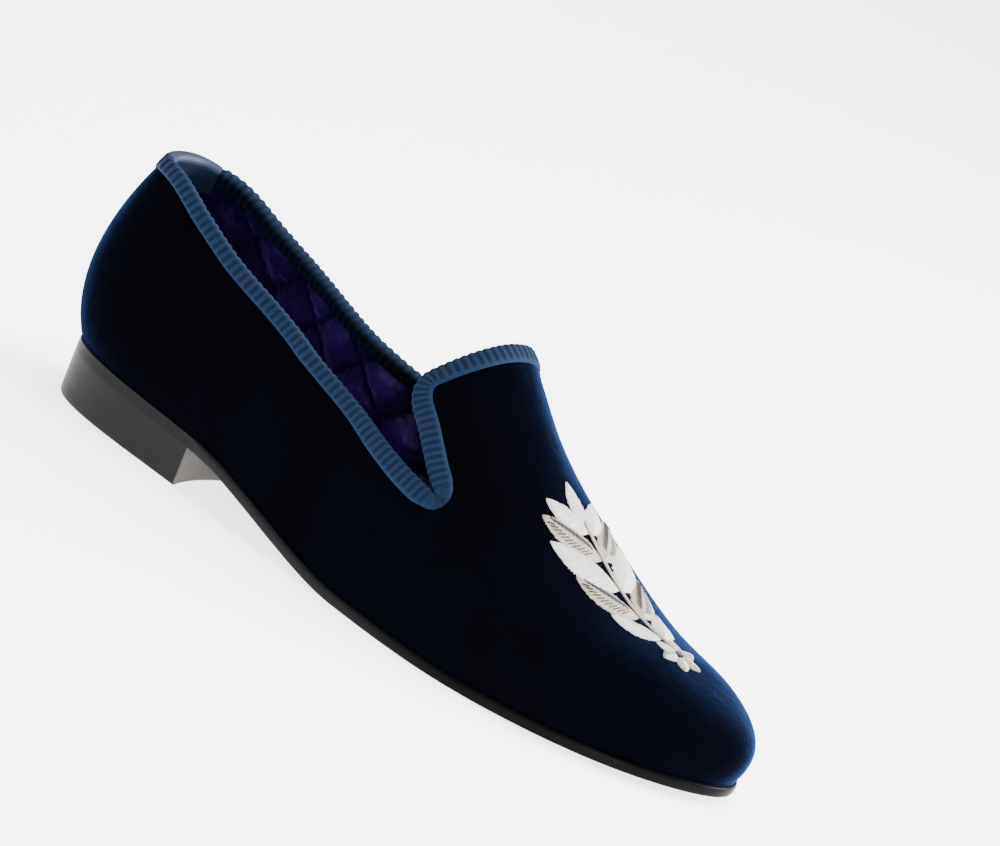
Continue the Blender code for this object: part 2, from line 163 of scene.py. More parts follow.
def size(v):
    return np.linalg.norm(v, axis=-1)


def unit(v):
    return v / np.maximum(size(v)[..., None], 1e-9)


def steps(count):
    return np.linspace(0.0, 1.0, count + 1)


def run_of(points):
    """Distances along a line of points, from its start."""
    return np.concatenate([[0.0], np.cumsum(size(np.diff(points, axis=0)))])


def bezier(a, b, c, d, s):
    return a * (1 - s) ** 3 + 3 * b * s * (1 - s) ** 2 + 3 * c * s * s * (1 - s) + d * s ** 3


def root(f, low, high):
    """Where f crosses zero between low and high, for arrays, by halving."""
    low, high = np.broadcast_arrays(np.asarray(low, float), np.asarray(high, float))
    sign = np.sign(f(low))
    for _ in range(40):
        mid = 0.5 * (low + high)
        same = np.sign(f(mid)) == sign
        low = np.where(same, mid, low)
        high = np.where(same, high, mid)
    return 0.5 * (low + high)


def sole_under(x):
    """Height of the underside of the sole: seat, waist, flat tread, toe spring."""
    slope = (SEAT_FRONT - SEAT_BACK) / HEEL_LENGTH
    span = TREAD_BACK - HEEL_LENGTH
    s = np.clip((x - HEEL_LENGTH) / span, 0.0, 1.0)
    waist = SEAT_FRONT * (1 + 2 * s) * (1 - s) ** 2 + slope * ARCH * span * s * (1 - s) ** 2
    e = np.clip((x - TREAD_FRONT) / (TOE_END - TREAD_FRONT), 0.0, None)
    front = np.where(x < TREAD_BACK, waist, TOE_SPRING * e * e)
    return np.where(x < HEEL_LENGTH, SEAT_BACK + slope * x, front)


print("sole at the toe is", round(float(sole_under(TOE_END)), 1), "mm off the floor")

# %% [markdown]
# A place on the upper has two numbers: `v` runs along the outline from heel to toe, and `t` climbs from
# the feather line to the crest. Each section is a cubic curve that leaves the sole outwards, by `flare`,
# and comes over to the crest, by `reach`. Around the foot opening the last is cut off short of the crest.

# %% The surface of the last
NUDGE = 0.01
SLOPE_STEP = 0.002
OPEN_TURN = 0.3


def along(side, v):
    return v if side == OUTER else RING.length - v


def outwards(u):
    """The direction square to the outline in plan."""
    d = RING.at(u + NUDGE)[..., :2] - RING.at(u - NUDGE)[..., :2]
    return unit(np.stack([d[..., 1], -d[..., 0]], -1))


def outline(side, v, out):
    """The feather line in plan, moved outwards by out."""
    u = along(side, np.asarray(v, float))
    return RING.at(u)[..., :2] + out * outwards(u)


def skin(side, v, t):
    """A point on the outside of the upper: t is 0 on the feather line and 1 on the crest."""
    u = along(side, np.asarray(v, float))
    x, y, crest_x, crest_y, up, rise, flare, reach, drop = np.moveaxis(RING.at(u), -1, 0)
    share = OPEN_SHARE * ease((OPEN_FRONT - x) / (OPEN_FRONT - OPEN_BACK))
    low = np.stack([x, y, sole_under(x) + SOLE_THICK + GAP], -1)
    high = np.stack([crest_x, crest_y + (y - crest_y) * share, up], -1)
    normal = np.concatenate([outwards(u), 0 * x[..., None]], -1)
    spoke = unit((low - high) * (1, 1, 0))
    open_part = np.clip(share / OPEN_TURN, 0.0, 1.0)[..., None]
    away = unit(spoke * (1 - open_part) + normal * open_part)
    z = np.array((0.0, 0.0, 1.0))
    lower = low + normal * flare[..., None] + z * (rise * (up - low[..., 2]))[..., None]
    upper = high + away * reach[..., None] - z * drop[..., None]
    return bezier(low, lower, upper, high, np.asarray(t, float)[..., None])


def on_skin(side, places):
    return skin(side, places[..., 0], places[..., 1])


def slopes(side, v, t):
    """How the skin runs along the foot and up the wall, and its outward normal."""
    e = SLOPE_STEP
    t = np.minimum(t, 0.995)
    dv = (skin(side, v + e, t) - skin(side, v - e, t)) / (2 * e)
    dt = (skin(side, v, t + e) - skin(side, v, t - e)) / (2 * e)
    return dv, dt, unit(np.cross(dv, dt)) * -side


def normal_at(side, places):
    return slopes(side, places[..., 0], places[..., 1])[2]


def place_of(x):
    """The place along the side where the feather line is at x."""
    return root(lambda v: RING.at(v)[..., 0] - x, 0 * np.asarray(x, float), TOE)


print("the crest ends", round(float(skin(OUTER, TOE, 1.0)[0])), "mm from the back")

# %% [markdown]
# The upper is cut along one line: the collar falls from the heel to a notch on each side, and from the
# notch the tongue rises to a rounded corner. Ribbon, lining and velvet all end on this line, so one class
# gives its places (v, t) on the last, stretch by stretch. First come the curves that the stretches follow.

# %% Curves of the cut edge
COLLAR_ROWS = np.array((
    (-8, 84.0, 84.0), (4, 84.0, 84.0), (18, 83.4, 82.6), (40, 76.6, 75.5), (60, 70.0, 70.7),
    (80, 65.2, 66.0), (100, 60.6, 61.7), (120, 56.0, 58.1), (140, 52.0, 54.8), (160, 48.4, 51.4),
    (180, 45.2, 48.0),
))
TONGUE_ROWS = np.array((
    (130, 29.7, 11.5), (141, 33.4, 14.0), (146, 35.2, 16.0), (156, 37.0, 21.5), (166, 38.4, 27.3),
    (172, 39.1, 31.0), (190, 44.0, 39.5),
))
TONGUE_TOP = 100.6
TONGUE_LEAN = 0.56
TONGUE_SPAN = (118.0, 176.0)


def from_table(x, rows, side):
    """A smooth curve through one column of a table of (x, outer side, inner side), read at x."""
    xs = rows[:, 0]
    ys = rows[:, 1 if side == OUTER else 2]
    slope = np.gradient(ys, xs)
    k = np.clip(np.searchsorted(xs, x, side="right") - 1, 0, len(xs) - 2)
    wide = xs[k + 1] - xs[k]
    s = np.clip((x - xs[k]) / wide, 0.0, 1.0)
    start = ys[k] * (1 + 2 * s) * (1 - s) ** 2 + slope[k] * wide * s * (1 - s) ** 2
    return start + ys[k + 1] * s * s * (3 - 2 * s) - slope[k + 1] * wide * s * s * (1 - s)


def collar_t(side, v):
    v = np.asarray(v, float)

    def above(t):
        p = skin(side, v, t)
        return p[..., 2] - from_table(p[..., 0], COLLAR_ROWS, side)

    return root(above, 0 * v, 0 * v + 1)


def tongue_t(side, v):
    v = np.asarray(v, float)
    ridge_y = RING.at(along(side, v))[..., 3]

    def beyond(t):
        p = skin(side, v, t)
        return np.abs(p[..., 1] - ridge_y) - from_table(p[..., 0], TONGUE_ROWS, side)

    return root(beyond, 0 * v + 0.2, 0 * v + 1)


def top_v(side, t):
    t = np.asarray(t, float)

    def below(v):
        p = skin(side, v, t)
        return p[..., 0] - TONGUE_LEAN * p[..., 2] - TONGUE_TOP

    return root(below, 0 * t + place_of(TONGUE_SPAN[0]), 0 * t + place_of(TONGUE_SPAN[1]))


print("collar at the back is", COLLAR_ROWS[1, 1], "mm high")

# %% [markdown]
# Each side has its own cut edge. The notch is a small half circle, and the tongue's corner is rounded
# between the points where a circle of its radius would touch both sides.

# %% The cut edge of the upper
NOTCH_AT = 174.0
NOTCH_ROUND = 1.4
EASE_AT = 120.0
TONGUE_ROUND = 8.0
CORNER_PULL = 0.6


class Topline:
    """The cut edge of one half of the upper as places (v, t): quarter, notch, tongue side, corner, top."""

    def __init__(self, side):
        self.side = side
        corner_t = np.array(0.6)
        for _ in range(30):
            corner_v = top_v(side, corner_t)
            corner_t = tongue_t(side, corner_v)
        tip_v = place_of(NOTCH_AT)
        along_v, up, _ = slopes(side, tip_v, tongue_t(side, tip_v))
        self.reach_v = NOTCH_ROUND / size(along_v)
        self.end = tip_v - self.reach_v
        self.high_t = tongue_t(side, self.end)
        self.low_t = self.high_t - 2 * NOTCH_ROUND / size(up)
        self.tip = np.array([tip_v, 0.5 * (self.low_t + self.high_t)])
        self.lift = self.low_t - collar_t(side, self.end)
        d, e = 0.05, 0.01
        corner = skin(side, corner_v, corner_t)
        side_dir = skin(side, corner_v + d, tongue_t(side, corner_v + d)) - corner
        top_dir = skin(side, top_v(side, corner_t + e), corner_t + e) - corner
        angle = np.arccos(np.sum(unit(side_dir) * unit(top_dir)))
        back = TONGUE_ROUND / np.tan(angle / 2)
        self.side_v = corner_v + d * back / size(side_dir)
        self.top_t = corner_t + e * back / size(top_dir)
        self.corner = np.array([corner_v, corner_t])

    def quarter(self, v):
        """The edge of the quarter, eased so that it runs into the notch."""
        start = place_of(EASE_AT)
        near = ease((v - start) / (self.end - start))
        return np.column_stack([v, collar_t(self.side, v) + self.lift * near])

    def notch(self, turn):
        """The rounded end of the notch, turn running from -1 on the quarter to 1 on the tongue."""
        a = np.asarray(turn, float) * np.pi / 2
        half = 0.5 * (self.high_t - self.low_t)
        return np.column_stack([self.end + self.reach_v * np.cos(a), self.tip[1] + half * np.sin(a)])

    def tongue_side(self, s):
        v = self.end + (self.side_v - self.end) * np.asarray(s, float)
        return np.column_stack([v, tongue_t(self.side, v)])

    def rounded(self, s):
        a = np.array([self.side_v, tongue_t(self.side, self.side_v)])
        b = np.array([top_v(self.side, self.top_t), self.top_t])
        p = a + (self.corner - a) * CORNER_PULL
        q = b + (self.corner - b) * CORNER_PULL
        return bezier(a, p, q, b, np.asarray(s, float)[:, None])

    def top(self, s):
        t = self.top_t + (1 - self.top_t) * np.asarray(s, float)
        return np.column_stack([top_v(self.side, t), t])


EDGES = {side: Topline(side) for side in SIDES}
for side, name in SIDES.items():
    print(name, "notch ends at", skin(side, *EDGES[side].tip).round(1))

# %% [markdown]
# Most pieces here are grids of points on the last. A patchwork gathers such grids into one mesh, keeps a
# number for every point that a finish can read later, such as the distance along a ribbon, and welds the
# edges that meet.


# %% Grids to meshes
def link(name, data):
    made = bpy.data.objects.new(name, data)
    bpy.context.scene.collection.objects.link(made)
    return made


class Patchwork:
    def __init__(self):
        self.points = []
        self.faces = []
        self.notes = {}
        self.count = 0

    def add(self, grid, flip=False, **notes):
        rows, columns = grid.shape[:2]
        index = self.count + np.arange(rows * columns).reshape(rows, columns)
        quads = np.stack([index[:-1, :-1], index[1:, :-1], index[1:, 1:], index[:-1, 1:]], -1)
        quads = quads.reshape(-1, 4)
        self.faces.append(quads[:, ::-1] if flip else quads)
        self.points.append(grid.reshape(-1, 3))
        self.count += rows * columns
        for name, values in notes.items():
            self.notes.setdefault(name, []).append(np.broadcast_to(values, (rows, columns)).ravel())

    def build(self, name, finish, weld=0.02, sharp=180.0):
        data = bpy.data.meshes.new(name)
        points = (np.concatenate(self.points) - MIDDLE) * MM
        data.from_pydata(points.tolist(), [], np.concatenate(self.faces).tolist())
        for key, values in self.notes.items():
            layer = data.attributes.new(key, "FLOAT", "POINT")
            layer.data.foreach_set("value", np.concatenate(values).astype(np.float32))
        work = bmesh.new()
        work.from_mesh(data)
        bmesh.ops.remove_doubles(work, verts=work.verts, dist=weld * MM)
        bmesh.ops.dissolve_degenerate(work, edges=work.edges, dist=weld * MM / 4)
        work.to_mesh(data)
        work.free()
        data.shade_smooth()
        data.set_sharp_from_angle(angle=math.radians(sharp))
        data.materials.append(finish)
        return link(name, data)


def thicken(piece, thick):
    """A wall behind the faces, left as a modifier."""
    shell = piece.modifiers.new("wall", "SOLIDIFY")
    shell.thickness = thick * MM
    shell.offset = -1.0


def settle(piece, node=None):
    """The piece rides on the shoe and, when a solid is named, stands for that solid, which is hidden."""
    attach(piece, "root")
    if node:
        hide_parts(node)
    print(piece.name, len(piece.data.polygons), "faces")


# %% [markdown]
# Finishes are node trees. To keep them readable, a socket is wrapped in a small class that takes part in
# Python arithmetic: each operator adds one Math node. Every other node comes from one method, which sets
# the node's own settings first and then its sockets, from numbers or from other sockets.


# %% Shader arithmetic
class Wire:
    def __init__(self, finish, socket):
        self.finish = finish
        self.socket = socket

    def math(self, operation, other=0.0):
        return self.finish.node("ShaderNodeMath", {"operation": operation}, {0: self, 1: other})

    def __add__(self, other):
        return self.math("ADD", other)

    def __mul__(self, other):
        return self.math("MULTIPLY", other)

    __radd__ = __add__
    __rmul__ = __mul__


class Finish:
    """One material, with its shader's constant values set on the shader's own sockets."""

    def __init__(self, name, **constants):
        self.material = bpy.data.materials.new(name)
        self.material.use_nodes = True
        self.tree = self.material.node_tree
        self.shader = self.tree.nodes["Principled BSDF"]
        self.set(**constants)
        self.place = self.node("ShaderNodeTexCoord", output="Object")

    def node(self, kind, settings=None, inputs=None, output=0):
        made = self.tree.nodes.new(kind)
        for key, value in (settings or {}).items():
            setattr(made, key, value)
        for key, value in (inputs or {}).items():
            self.feed(made.inputs[key], value)
        return Wire(self, made.outputs[output])

    def feed(self, socket, value):
        if isinstance(value, Wire):
            self.tree.links.new(value.socket, socket)
        else:
            socket.default_value = value

    def set(self, **values):
        for key, value in values.items():
            self.feed(self.shader.inputs[key.replace("_", " ")], value)

    def noise(self, scale, detail=2.0, rough=0.5):
        inputs = {"Vector": self.place, "Scale": scale, "Detail": detail, "Roughness": rough}
        return self.node("ShaderNodeTexNoise", {"noise_dimensions": "3D"}, inputs)

    def cells(self, scale):
        inputs = {"Vector": self.place, "Scale": scale}
        edges = self.node("ShaderNodeTexVoronoi", {"feature": "DISTANCE_TO_EDGE"}, inputs)
        return self.range(edges, 0.0, 0.12)

    def note(self, name):
        return self.node("ShaderNodeAttribute", {"attribute_name": name}, output="Fac")

    def forward(self):
        """How far towards the toe a point lies, in metres."""
        return self.node("ShaderNodeSeparateXYZ", None, {0: self.place}, output="X")

    def range(self, value, low, high, start=0.0, end=1.0):
        inputs = {0: value, 1: low, 2: high, 3: start, 4: end}
        return self.node("ShaderNodeMapRange", {"interpolation_type": "SMOOTHSTEP"}, inputs)

    def mix(self, share, a, b):
        return self.node("ShaderNodeMix", {"data_type": "RGBA"}, {0: share, 6: a, 7: b}, output=2)

    def bump(self, height, strength, distance):
        inputs = {"Height": height, "Strength": strength, "Distance": distance * MM}
        self.set(Normal=self.node("ShaderNodeBump", None, inputs))


def colour(red, green, blue):
    return (red, green, blue, 1.0)


# %% [markdown]
# Velvet is a dense pile of short upright fibres. Seen square on it swallows light and looks almost black,
# and at a grazing angle the sides of the fibres light up. The shader's sheen does just that. Where the
# pile has been stroked it leans, so slow noise shifts its colour and tilts it, and fine noise stands for
# the tips of the fibres. Towards the heel a plain dark shader is mixed in as painted shade, which dims
# the sheen there.

# %% Velvet
HEEL_SHADE = 0.42
velvet = Finish(
    "navy_velvet", Roughness=0.9, Specular_IOR_Level=0.0, Sheen_Weight=1.0, Sheen_Roughness=0.26,
    Sheen_Tint=colour(0.062, 0.125, 0.36),
)
stroked = velvet.range(velvet.noise(24.0, 3.0, 0.6), 0.3, 0.8)
tips = velvet.noise(2600.0)
deep = colour(0.0007, 0.0005, 0.0009)
lifted = colour(0.0010, 0.0012, 0.0025)
velvet.set(Base_Color=velvet.mix(stroked * 0.7 + tips * 0.3, deep, lifted))
leaning = velvet.noise(48.0, 3.0, 0.55)
velvet.bump(tips + 0.6 * velvet.noise(900.0) + 5.0 * leaning, 0.55, 0.28)
upright = Wire(velvet, velvet.shader.outputs[0])
# Painted shade: a plain dark diffuse shader is mixed in towards the heel, dimming the sheen there.
shade_shader = velvet.node("ShaderNodeBsdfDiffuse", None, {"Color": deep})
heel_shade = velvet.range(velvet.forward(), -0.13, -0.04, HEEL_SHADE, 0.0)
pile = velvet.node("ShaderNodeMixShader", None, {0: heel_shade, 1: upright, 2: shade_shader})
velvet.feed(velvet.tree.nodes["Material Output"].inputs["Surface"], pile)
print("velvet nodes:", len(velvet.tree.nodes))

# %% [markdown]
# The upper is laid out in three fields on each side: the wall from the sole up to the cut edge, the crown
# of the vamp in front of the notch, and the tongue. The lining uses the same fields. A field with four
# curved edges is filled in by blending the edges across it.

# %% Fields of the upper
FRONT_STEPS = 64
CROWN_STEPS = 26
CORNER_STEPS = 6
TOE_JOIN = 0.52


def patch(left, right, near, far):
    """A grid filled in between four edges: left and right run from near to far."""
    run = steps(len(left) - 1)[:, None, None]
    a = steps(len(near) - 1)[None, :, None]
    ruled = left[:, None] * (1 - a) + right[:, None] * a + near[None] * (1 - run) + far[None] * run
    near_corners = left[0] * (1 - a) + right[0] * a
    far_corners = left[-1] * (1 - a) + right[-1] * a
    return ruled - near_corners * (1 - run) - far_corners * run


def fields(side, rows):
    """The upper of one side as three grids of places (v, t): wall, crown of the vamp, tongue."""
    edge = EDGES[side]
    tip_v, tip_t = edge.tip
    front = tip_v + (TOE - tip_v) * steps(FRONT_STEPS)
    share = (front - front[0]) / (TOE - front[0])
    join = np.column_stack([front, tip_t + (TOE_JOIN - tip_t) * share])
    quarter = edge.quarter(edge.end * steps(4 * rows) ** 1.25)[:-1]
    low = np.concatenate([quarter, edge.notch([-1, -0.75, -0.5, -0.25]), join])
    up = steps(rows)
    wall = np.stack([low[:, :1] + 0 * up, low[:, 1:] * up], -1)
    up = steps(CROWN_STEPS)
    crown = np.stack([join[:, :1] + 0 * up, join[:, 1:] + (1 - join[:, 1:]) * up], -1)
    left = np.concatenate([
        edge.notch(np.linspace(0, 1, 5))[:-1],
        edge.tongue_side(steps(CROWN_STEPS))[:-1],
        edge.rounded(np.linspace(0, 0.5, CORNER_STEPS)),
    ])
    far = np.concatenate([edge.rounded(np.linspace(0.5, 1, CORNER_STEPS))[:-1],
                          edge.top(steps(len(up) - CORNER_STEPS))])
    near = np.column_stack([0 * up + tip_v, tip_t + (1 - tip_t) * up])
    ridge = near[-1] + (far[-1] - near[-1]) * steps(len(left) - 1)[:, None]
    return wall, crown, patch(left, ridge, near, far)


print("columns of the wall:", len(fields(OUTER, 4)[0]))

# %% [markdown]
# On the real shoe the velvet is pulled down over the last and turned in under its edge. At the back the
# two quarters meet in a seam, a shallow trough. Over the toe the pulled cloth has no edges, so the points
# there are evened out a little after the fields have been welded.

# %% Velvet upper
BACK_SEAM = 0.45
SEAM_HALF = 0.8
SEAM_FRONT = 30.0
TURNED_IN = ((2.0, 0.28), (0.3, 0.28), (0.03, 0.27), (0.0, 0.22))
VELVET_THICK = 1.1
RELAX_REACH = 0.034
RELAX_ROUNDS = 60


def tuck(side, v):
    """Rows that turn the velvet in under the feather line, on to the sole, in a sharp fold."""
    rows = []
    for inwards, drop in TURNED_IN:
        xy = outline(side, v, -inwards)
        rows.append(np.column_stack([xy, sole_under(xy[:, 0]) + SOLE_THICK + GAP - drop]))
    return np.stack(rows, 1)


def relax(piece, middle, reach, rounds):
    """Even out the surface around a point, as cloth does when it is pulled over the last."""
    data = piece.data
    points = np.array([v.co for v in data.vertices])
    ends = np.array([e.vertices for e in data.edges])
    count = np.bincount(ends.ravel(), minlength=len(points))[:, None]
    near = np.clip(1 - size((points - middle)[:, :2]) / reach, 0.0, 1.0)
    share = 0.5 * ease(near)[:, None]
    for _ in range(rounds):
        total = np.zeros_like(points)
        np.add.at(total, ends[:, 0], points[ends[:, 1]])
        np.add.at(total, ends[:, 1], points[ends[:, 0]])
        points += share * (total / count - points)
    data.vertices.foreach_set("co", points.ravel())
    data.update()


upper_work = Patchwork()
for side in SIDES:
    wall, crown, tongue = fields(side, 28)
    points = on_skin(side, wall)
    trough = BACK_SEAM * np.exp(-(points[..., 1] / SEAM_HALF) ** 2) * (points[..., 0] < SEAM_FRONT)
    points = points - normal_at(side, wall) * trough[..., None]
    upper_work.add(np.concatenate([tuck(side, wall[:, 0, 0]), points], 1), side == INNER)
    upper_work.add(on_skin(side, crown), side == INNER)
    upper_work.add(on_skin(side, tongue), side == OUTER)
velvet_upper = upper_work.build("velvet_upper", velvet.material)
toe_crown = (skin(OUTER, TOE, 1.0) - MIDDLE) * MM
relax(velvet_upper, toe_crown, RELAX_REACH, RELAX_ROUNDS)
thicken(velvet_upper, VELVET_THICK)
settle(velvet_upper, "upper")

# %% [markdown]
# The inside is quilted: satin over wadding, sewn down along two sets of slanting lines, so that it swells
# into small pillows. The height of a pillow follows from how far a point is from the nearest seam in both
# directions. Distances are measured on the surface itself, along the foot and up the wall, so that the
# squares keep their size everywhere. The satin's colour carries a painted highlight on the crowns, painted
# shade in the seams, and painted shade towards the back of the shoe.

# %% Satin and pillows
satin = Finish(
    "purple_satin", Roughness=0.34, Specular_IOR_Level=0.3, Sheen_Weight=0.3, Sheen_Roughness=0.4,
    Sheen_Tint=colour(0.25, 0.10, 0.75), Specular_Tint=colour(0.55, 0.4, 1.0),
)
crumple = satin.noise(130.0, 2.0, 0.45)
# Painted shade in the seams and a painted highlight on the crowns of the pillows.
seam_shade_mask = satin.range(satin.note("seam"), 0.0, 0.3)
crown_highlight = satin.range(satin.note("puff"), 0.2, 0.95)
shot = satin.range(crumple, 0.38, 0.62)
# Painted shade: the satin's colour fades towards the back of the shoe.
back_shade = satin.range(satin.forward(), -0.14, -0.02, 0.14, 1.0)
satin.set(Base_Color=satin.mix(seam_shade_mask * back_shade * (0.2 + 0.5 * crown_highlight + 0.4 * shot),
                               colour(0.0025, 0.0008, 0.009), colour(0.026, 0.0070, 0.092)))
satin.bump(crumple, 0.8, 3.0)

QUILT_PITCH = 18.0
QUILT_PUFF = 3.8
PUCKER = 0.35
PUCKER_PITCH = 5.0


def pillows(run, up):
    """The height of the quilting at each point, and how near the point is to a seam."""
    slant, other = (run + up) / math.sqrt(2), (run - up) / math.sqrt(2)
    p = np.abs(np.sin(np.pi * slant / QUILT_PITCH))
    q = np.abs(np.sin(np.pi * other / QUILT_PITCH))
    near = np.exp(-6.0 * np.minimum(p, q)) * np.minimum(1.0, 3.0 * np.maximum(p, q))
    pucker = np.sin(2 * np.pi * np.where(p < q, other, slant) / PUCKER_PITCH)
    return (p * q) ** 0.8 + PUCKER / QUILT_PUFF * near * pucker, np.minimum(p, q)


print("one pillow is", QUILT_PITCH, "mm wide and", QUILT_PUFF, "mm high")

# %% [markdown]
# The lining lies just behind the velvet's wall and follows the same fields. Near the cut edge, and deeper
# down behind the leather tab, it lies flat, because the binding is sewn through it there.

# %% Quilted lining
LINING_BACK = 1.45
LINING_THICK = 0.3
EDGE_CALM = 7.0
UNDER_TAB = 8.0
TAB_REGION = (28.0, 12.0)
FAR_FROM_EDGE = 50.0


def surface_lengths(points, flip):
    """Distances over the surface: along the rows at mid height, and up each column from its foot."""
    ups = np.stack([run_of(column) for column in points])
    runs = run_of(points[:, points.shape[1] // 2])
    return runs[:, None] * (1 if flip else -1) + 0 * ups, ups


lining_work = Patchwork()
for side in SIDES:
    wall, crown, tongue = fields(side, 44)
    start = len(wall) - len(crown)
    wall_points, tongue_points = on_skin(side, wall), on_skin(side, tongue)
    wall_run, wall_up = surface_lengths(wall_points, side == INNER)
    tab_start, tab_blend = TAB_REGION
    behind_tab = UNDER_TAB * ease((tab_start - wall_points[..., 0]) / tab_blend)
    from_edge = wall_up[:, -1:] - wall_up - behind_tab
    from_edge[start:] = FAR_FROM_EDGE
    crown_run, crown_up = surface_lengths(on_skin(side, crown), side == INNER)
    crown_run = crown_run + wall_run[start, 0]
    crown_up = crown_up + wall_up[start:, -1:]
    tongue_run, _ = surface_lengths(tongue_points, side == INNER)
    tongue_up = crown_up[0] + 0 * tongue_run
    tongue_clear = np.minimum(size(tongue_points - tongue_points[:, :1]),
                              size(tongue_points - tongue_points[-1:]))
    groups = (
        (wall, wall_run, wall_up, from_edge, side == OUTER),
        (crown, crown_run, crown_up, FAR_FROM_EDGE + 0 * crown_up, side == OUTER),
        (tongue, wall_run[start, 0] - tongue_run, tongue_up, tongue_clear, side == INNER),
    )
    for places, run, up, clear, flip in groups:
        puff, near_seam = pillows(run, up)
        depth = LINING_BACK + QUILT_PUFF * puff * ease(clear / EDGE_CALM)
        cloth = on_skin(side, places) - normal_at(side, places) * depth[..., None]
        lining_work.add(cloth, flip, seam=near_seam, puff=puff)
quilted_lining = lining_work.build("quilted_lining", satin.material)
thicken(quilted_lining, LINING_THICK)
settle(quilted_lining)

# %% [markdown]
# The cut edge is bound with strips folded over it: ribbon on most of it, leather at the back. A folded
# strip is a section swept along the edge. Each row of the section says how far it lies from the edge, on
# the surface, and how high above it, so the strip hugs the curve of the last on both faces of the wall.


# %% Folded strips
WALK_STEPS = 6


def into(side, place, far):
    """Walk from places on the cut edge into the fabric, square to the edge, by far millimetres."""
    tangent = np.gradient(on_skin(side, place), axis=0)
    heading = unit(np.cross(normal_at(side, place), unit(tangent))) * side
    now = place.copy()
    for _ in range(WALK_STEPS):
        dv, dt, _ = slopes(side, now[:, 0], now[:, 1])
        a, b, c = np.sum(dv * dv, -1), np.sum(dv * dt, -1), np.sum(dt * dt, -1)
        p, q = np.sum(dv * heading, -1), np.sum(dt * heading, -1)
        det = a * c - b * b
        now[:, 0] += far / WALK_STEPS * (c * p - b * q) / det
        now[:, 1] += far / WALK_STEPS * (a * q - b * p) / det
    return now, heading


def folded(side, place, profile):
    """The section of a strip at each place: rows of (distance from the edge, height off the skin)."""
    rows = []
    _, heading = into(side, place, 0.0)
    for far, height in profile:
        far, height = np.broadcast_to(far, len(place)), np.broadcast_to(height, len(place))
        now, _ = into(side, place, np.maximum(far, 0.0))
        past = heading * np.minimum(far, 0.0)[:, None]
        rows.append(on_skin(side, now) + past + normal_at(side, now) * height[:, None])
    return np.stack(rows, 1)


def evenly(side, place, pitch):
    """Places along the edge at an even distance from each other."""
    length = run_of(on_skin(side, place))
    at = length[-1] * steps(int(length[-1] / pitch))
    return np.column_stack([np.interp(at, length, place[:, k]) for k in (0, 1)]), at


def rim_rows(wide, thick, table):
    """The rim of a strip, from rows of (in from the rim, height, share of the thickness)."""
    return [(wide - back, height + share * thick) for back, height, share in table]


def arch(thick, rise, count):
    """The fold over the edge, from the outside to the inside, as (distance, height)."""
    a = np.linspace(0.5 * np.pi, -0.5 * np.pi, count)
    half = 0.5 * WALL + thick
    return [(-rise * math.cos(k) - 1e-6, -0.5 * WALL + half * math.sin(k)) for k in a]


def closed_strip(sections):
    """The sections of a strip as a closed tube, and a fan of faces over each of its ends."""
    tube = np.concatenate([sections, sections[:, :1]], 1)
    fans = []
    for row, flip in ((0, True), (-1, False)):
        middle = np.broadcast_to(sections[row].mean(0), tube[row].shape)
        fans.append((row, flip, np.stack([tube[row], middle])))
    return tube, fans


def collar_place(side, x):
    """The place along the collar where its edge is at x."""
    return root(lambda v: skin(side, v, collar_t(side, v))[..., 0] - x, 0.0, place_of(60.0))


print("fold of a 1 mm strip:", [round(h, 2) for _, h in arch(1.0, 1.0, 3)])

# %% [markdown]
# The ribbon starts under the heel tab, runs down the quarter, turns in the notch and goes round the
# tongue. It is wider on the tongue. In the notch it is gathered: it gets narrower, its ribs fade, and a
# mitre crease runs across it. The two sides meet on top of the tongue.

# %% Run of the ribbon
TAB_AT = 11.0
TAB_SHARE = {OUTER: 0.66, INNER: 1.0}
RIBBON_START = 8.5
RIBBON_WIDE = 4.0
RIBBON_ON_TONGUE = 5.5
RIBBON_THICK = 1.15
RIBBON_STEP = 0.35
RIBBON_RIM = ((0.0, 0.05, 0.0), (-0.1, 0.0, 0.4), (0.25, 0.0, 0.65))
RIBBON_FACE = (0.85, 0.7, 0.55, 0.4, 0.25, 0.12)
RIBBON_BACK = (0.15, 0.35, 0.6, 0.85)
RIBBON_LOOSE = 0.1
FOLD_STEPS = 9
THIN_END = 7.0
THIN_SHARE = 0.35
CLEAR_OF_TAB = 3.2
TONGUE_TIGHTER = 0.18
TONGUE_FLATTER = 0.25
GATHERED = 3.2
GATHER_FLATTER = 0.8
NOTCH_NARROWER = 0.2
MITRE = 0.6
MITRE_DEEP = 0.35


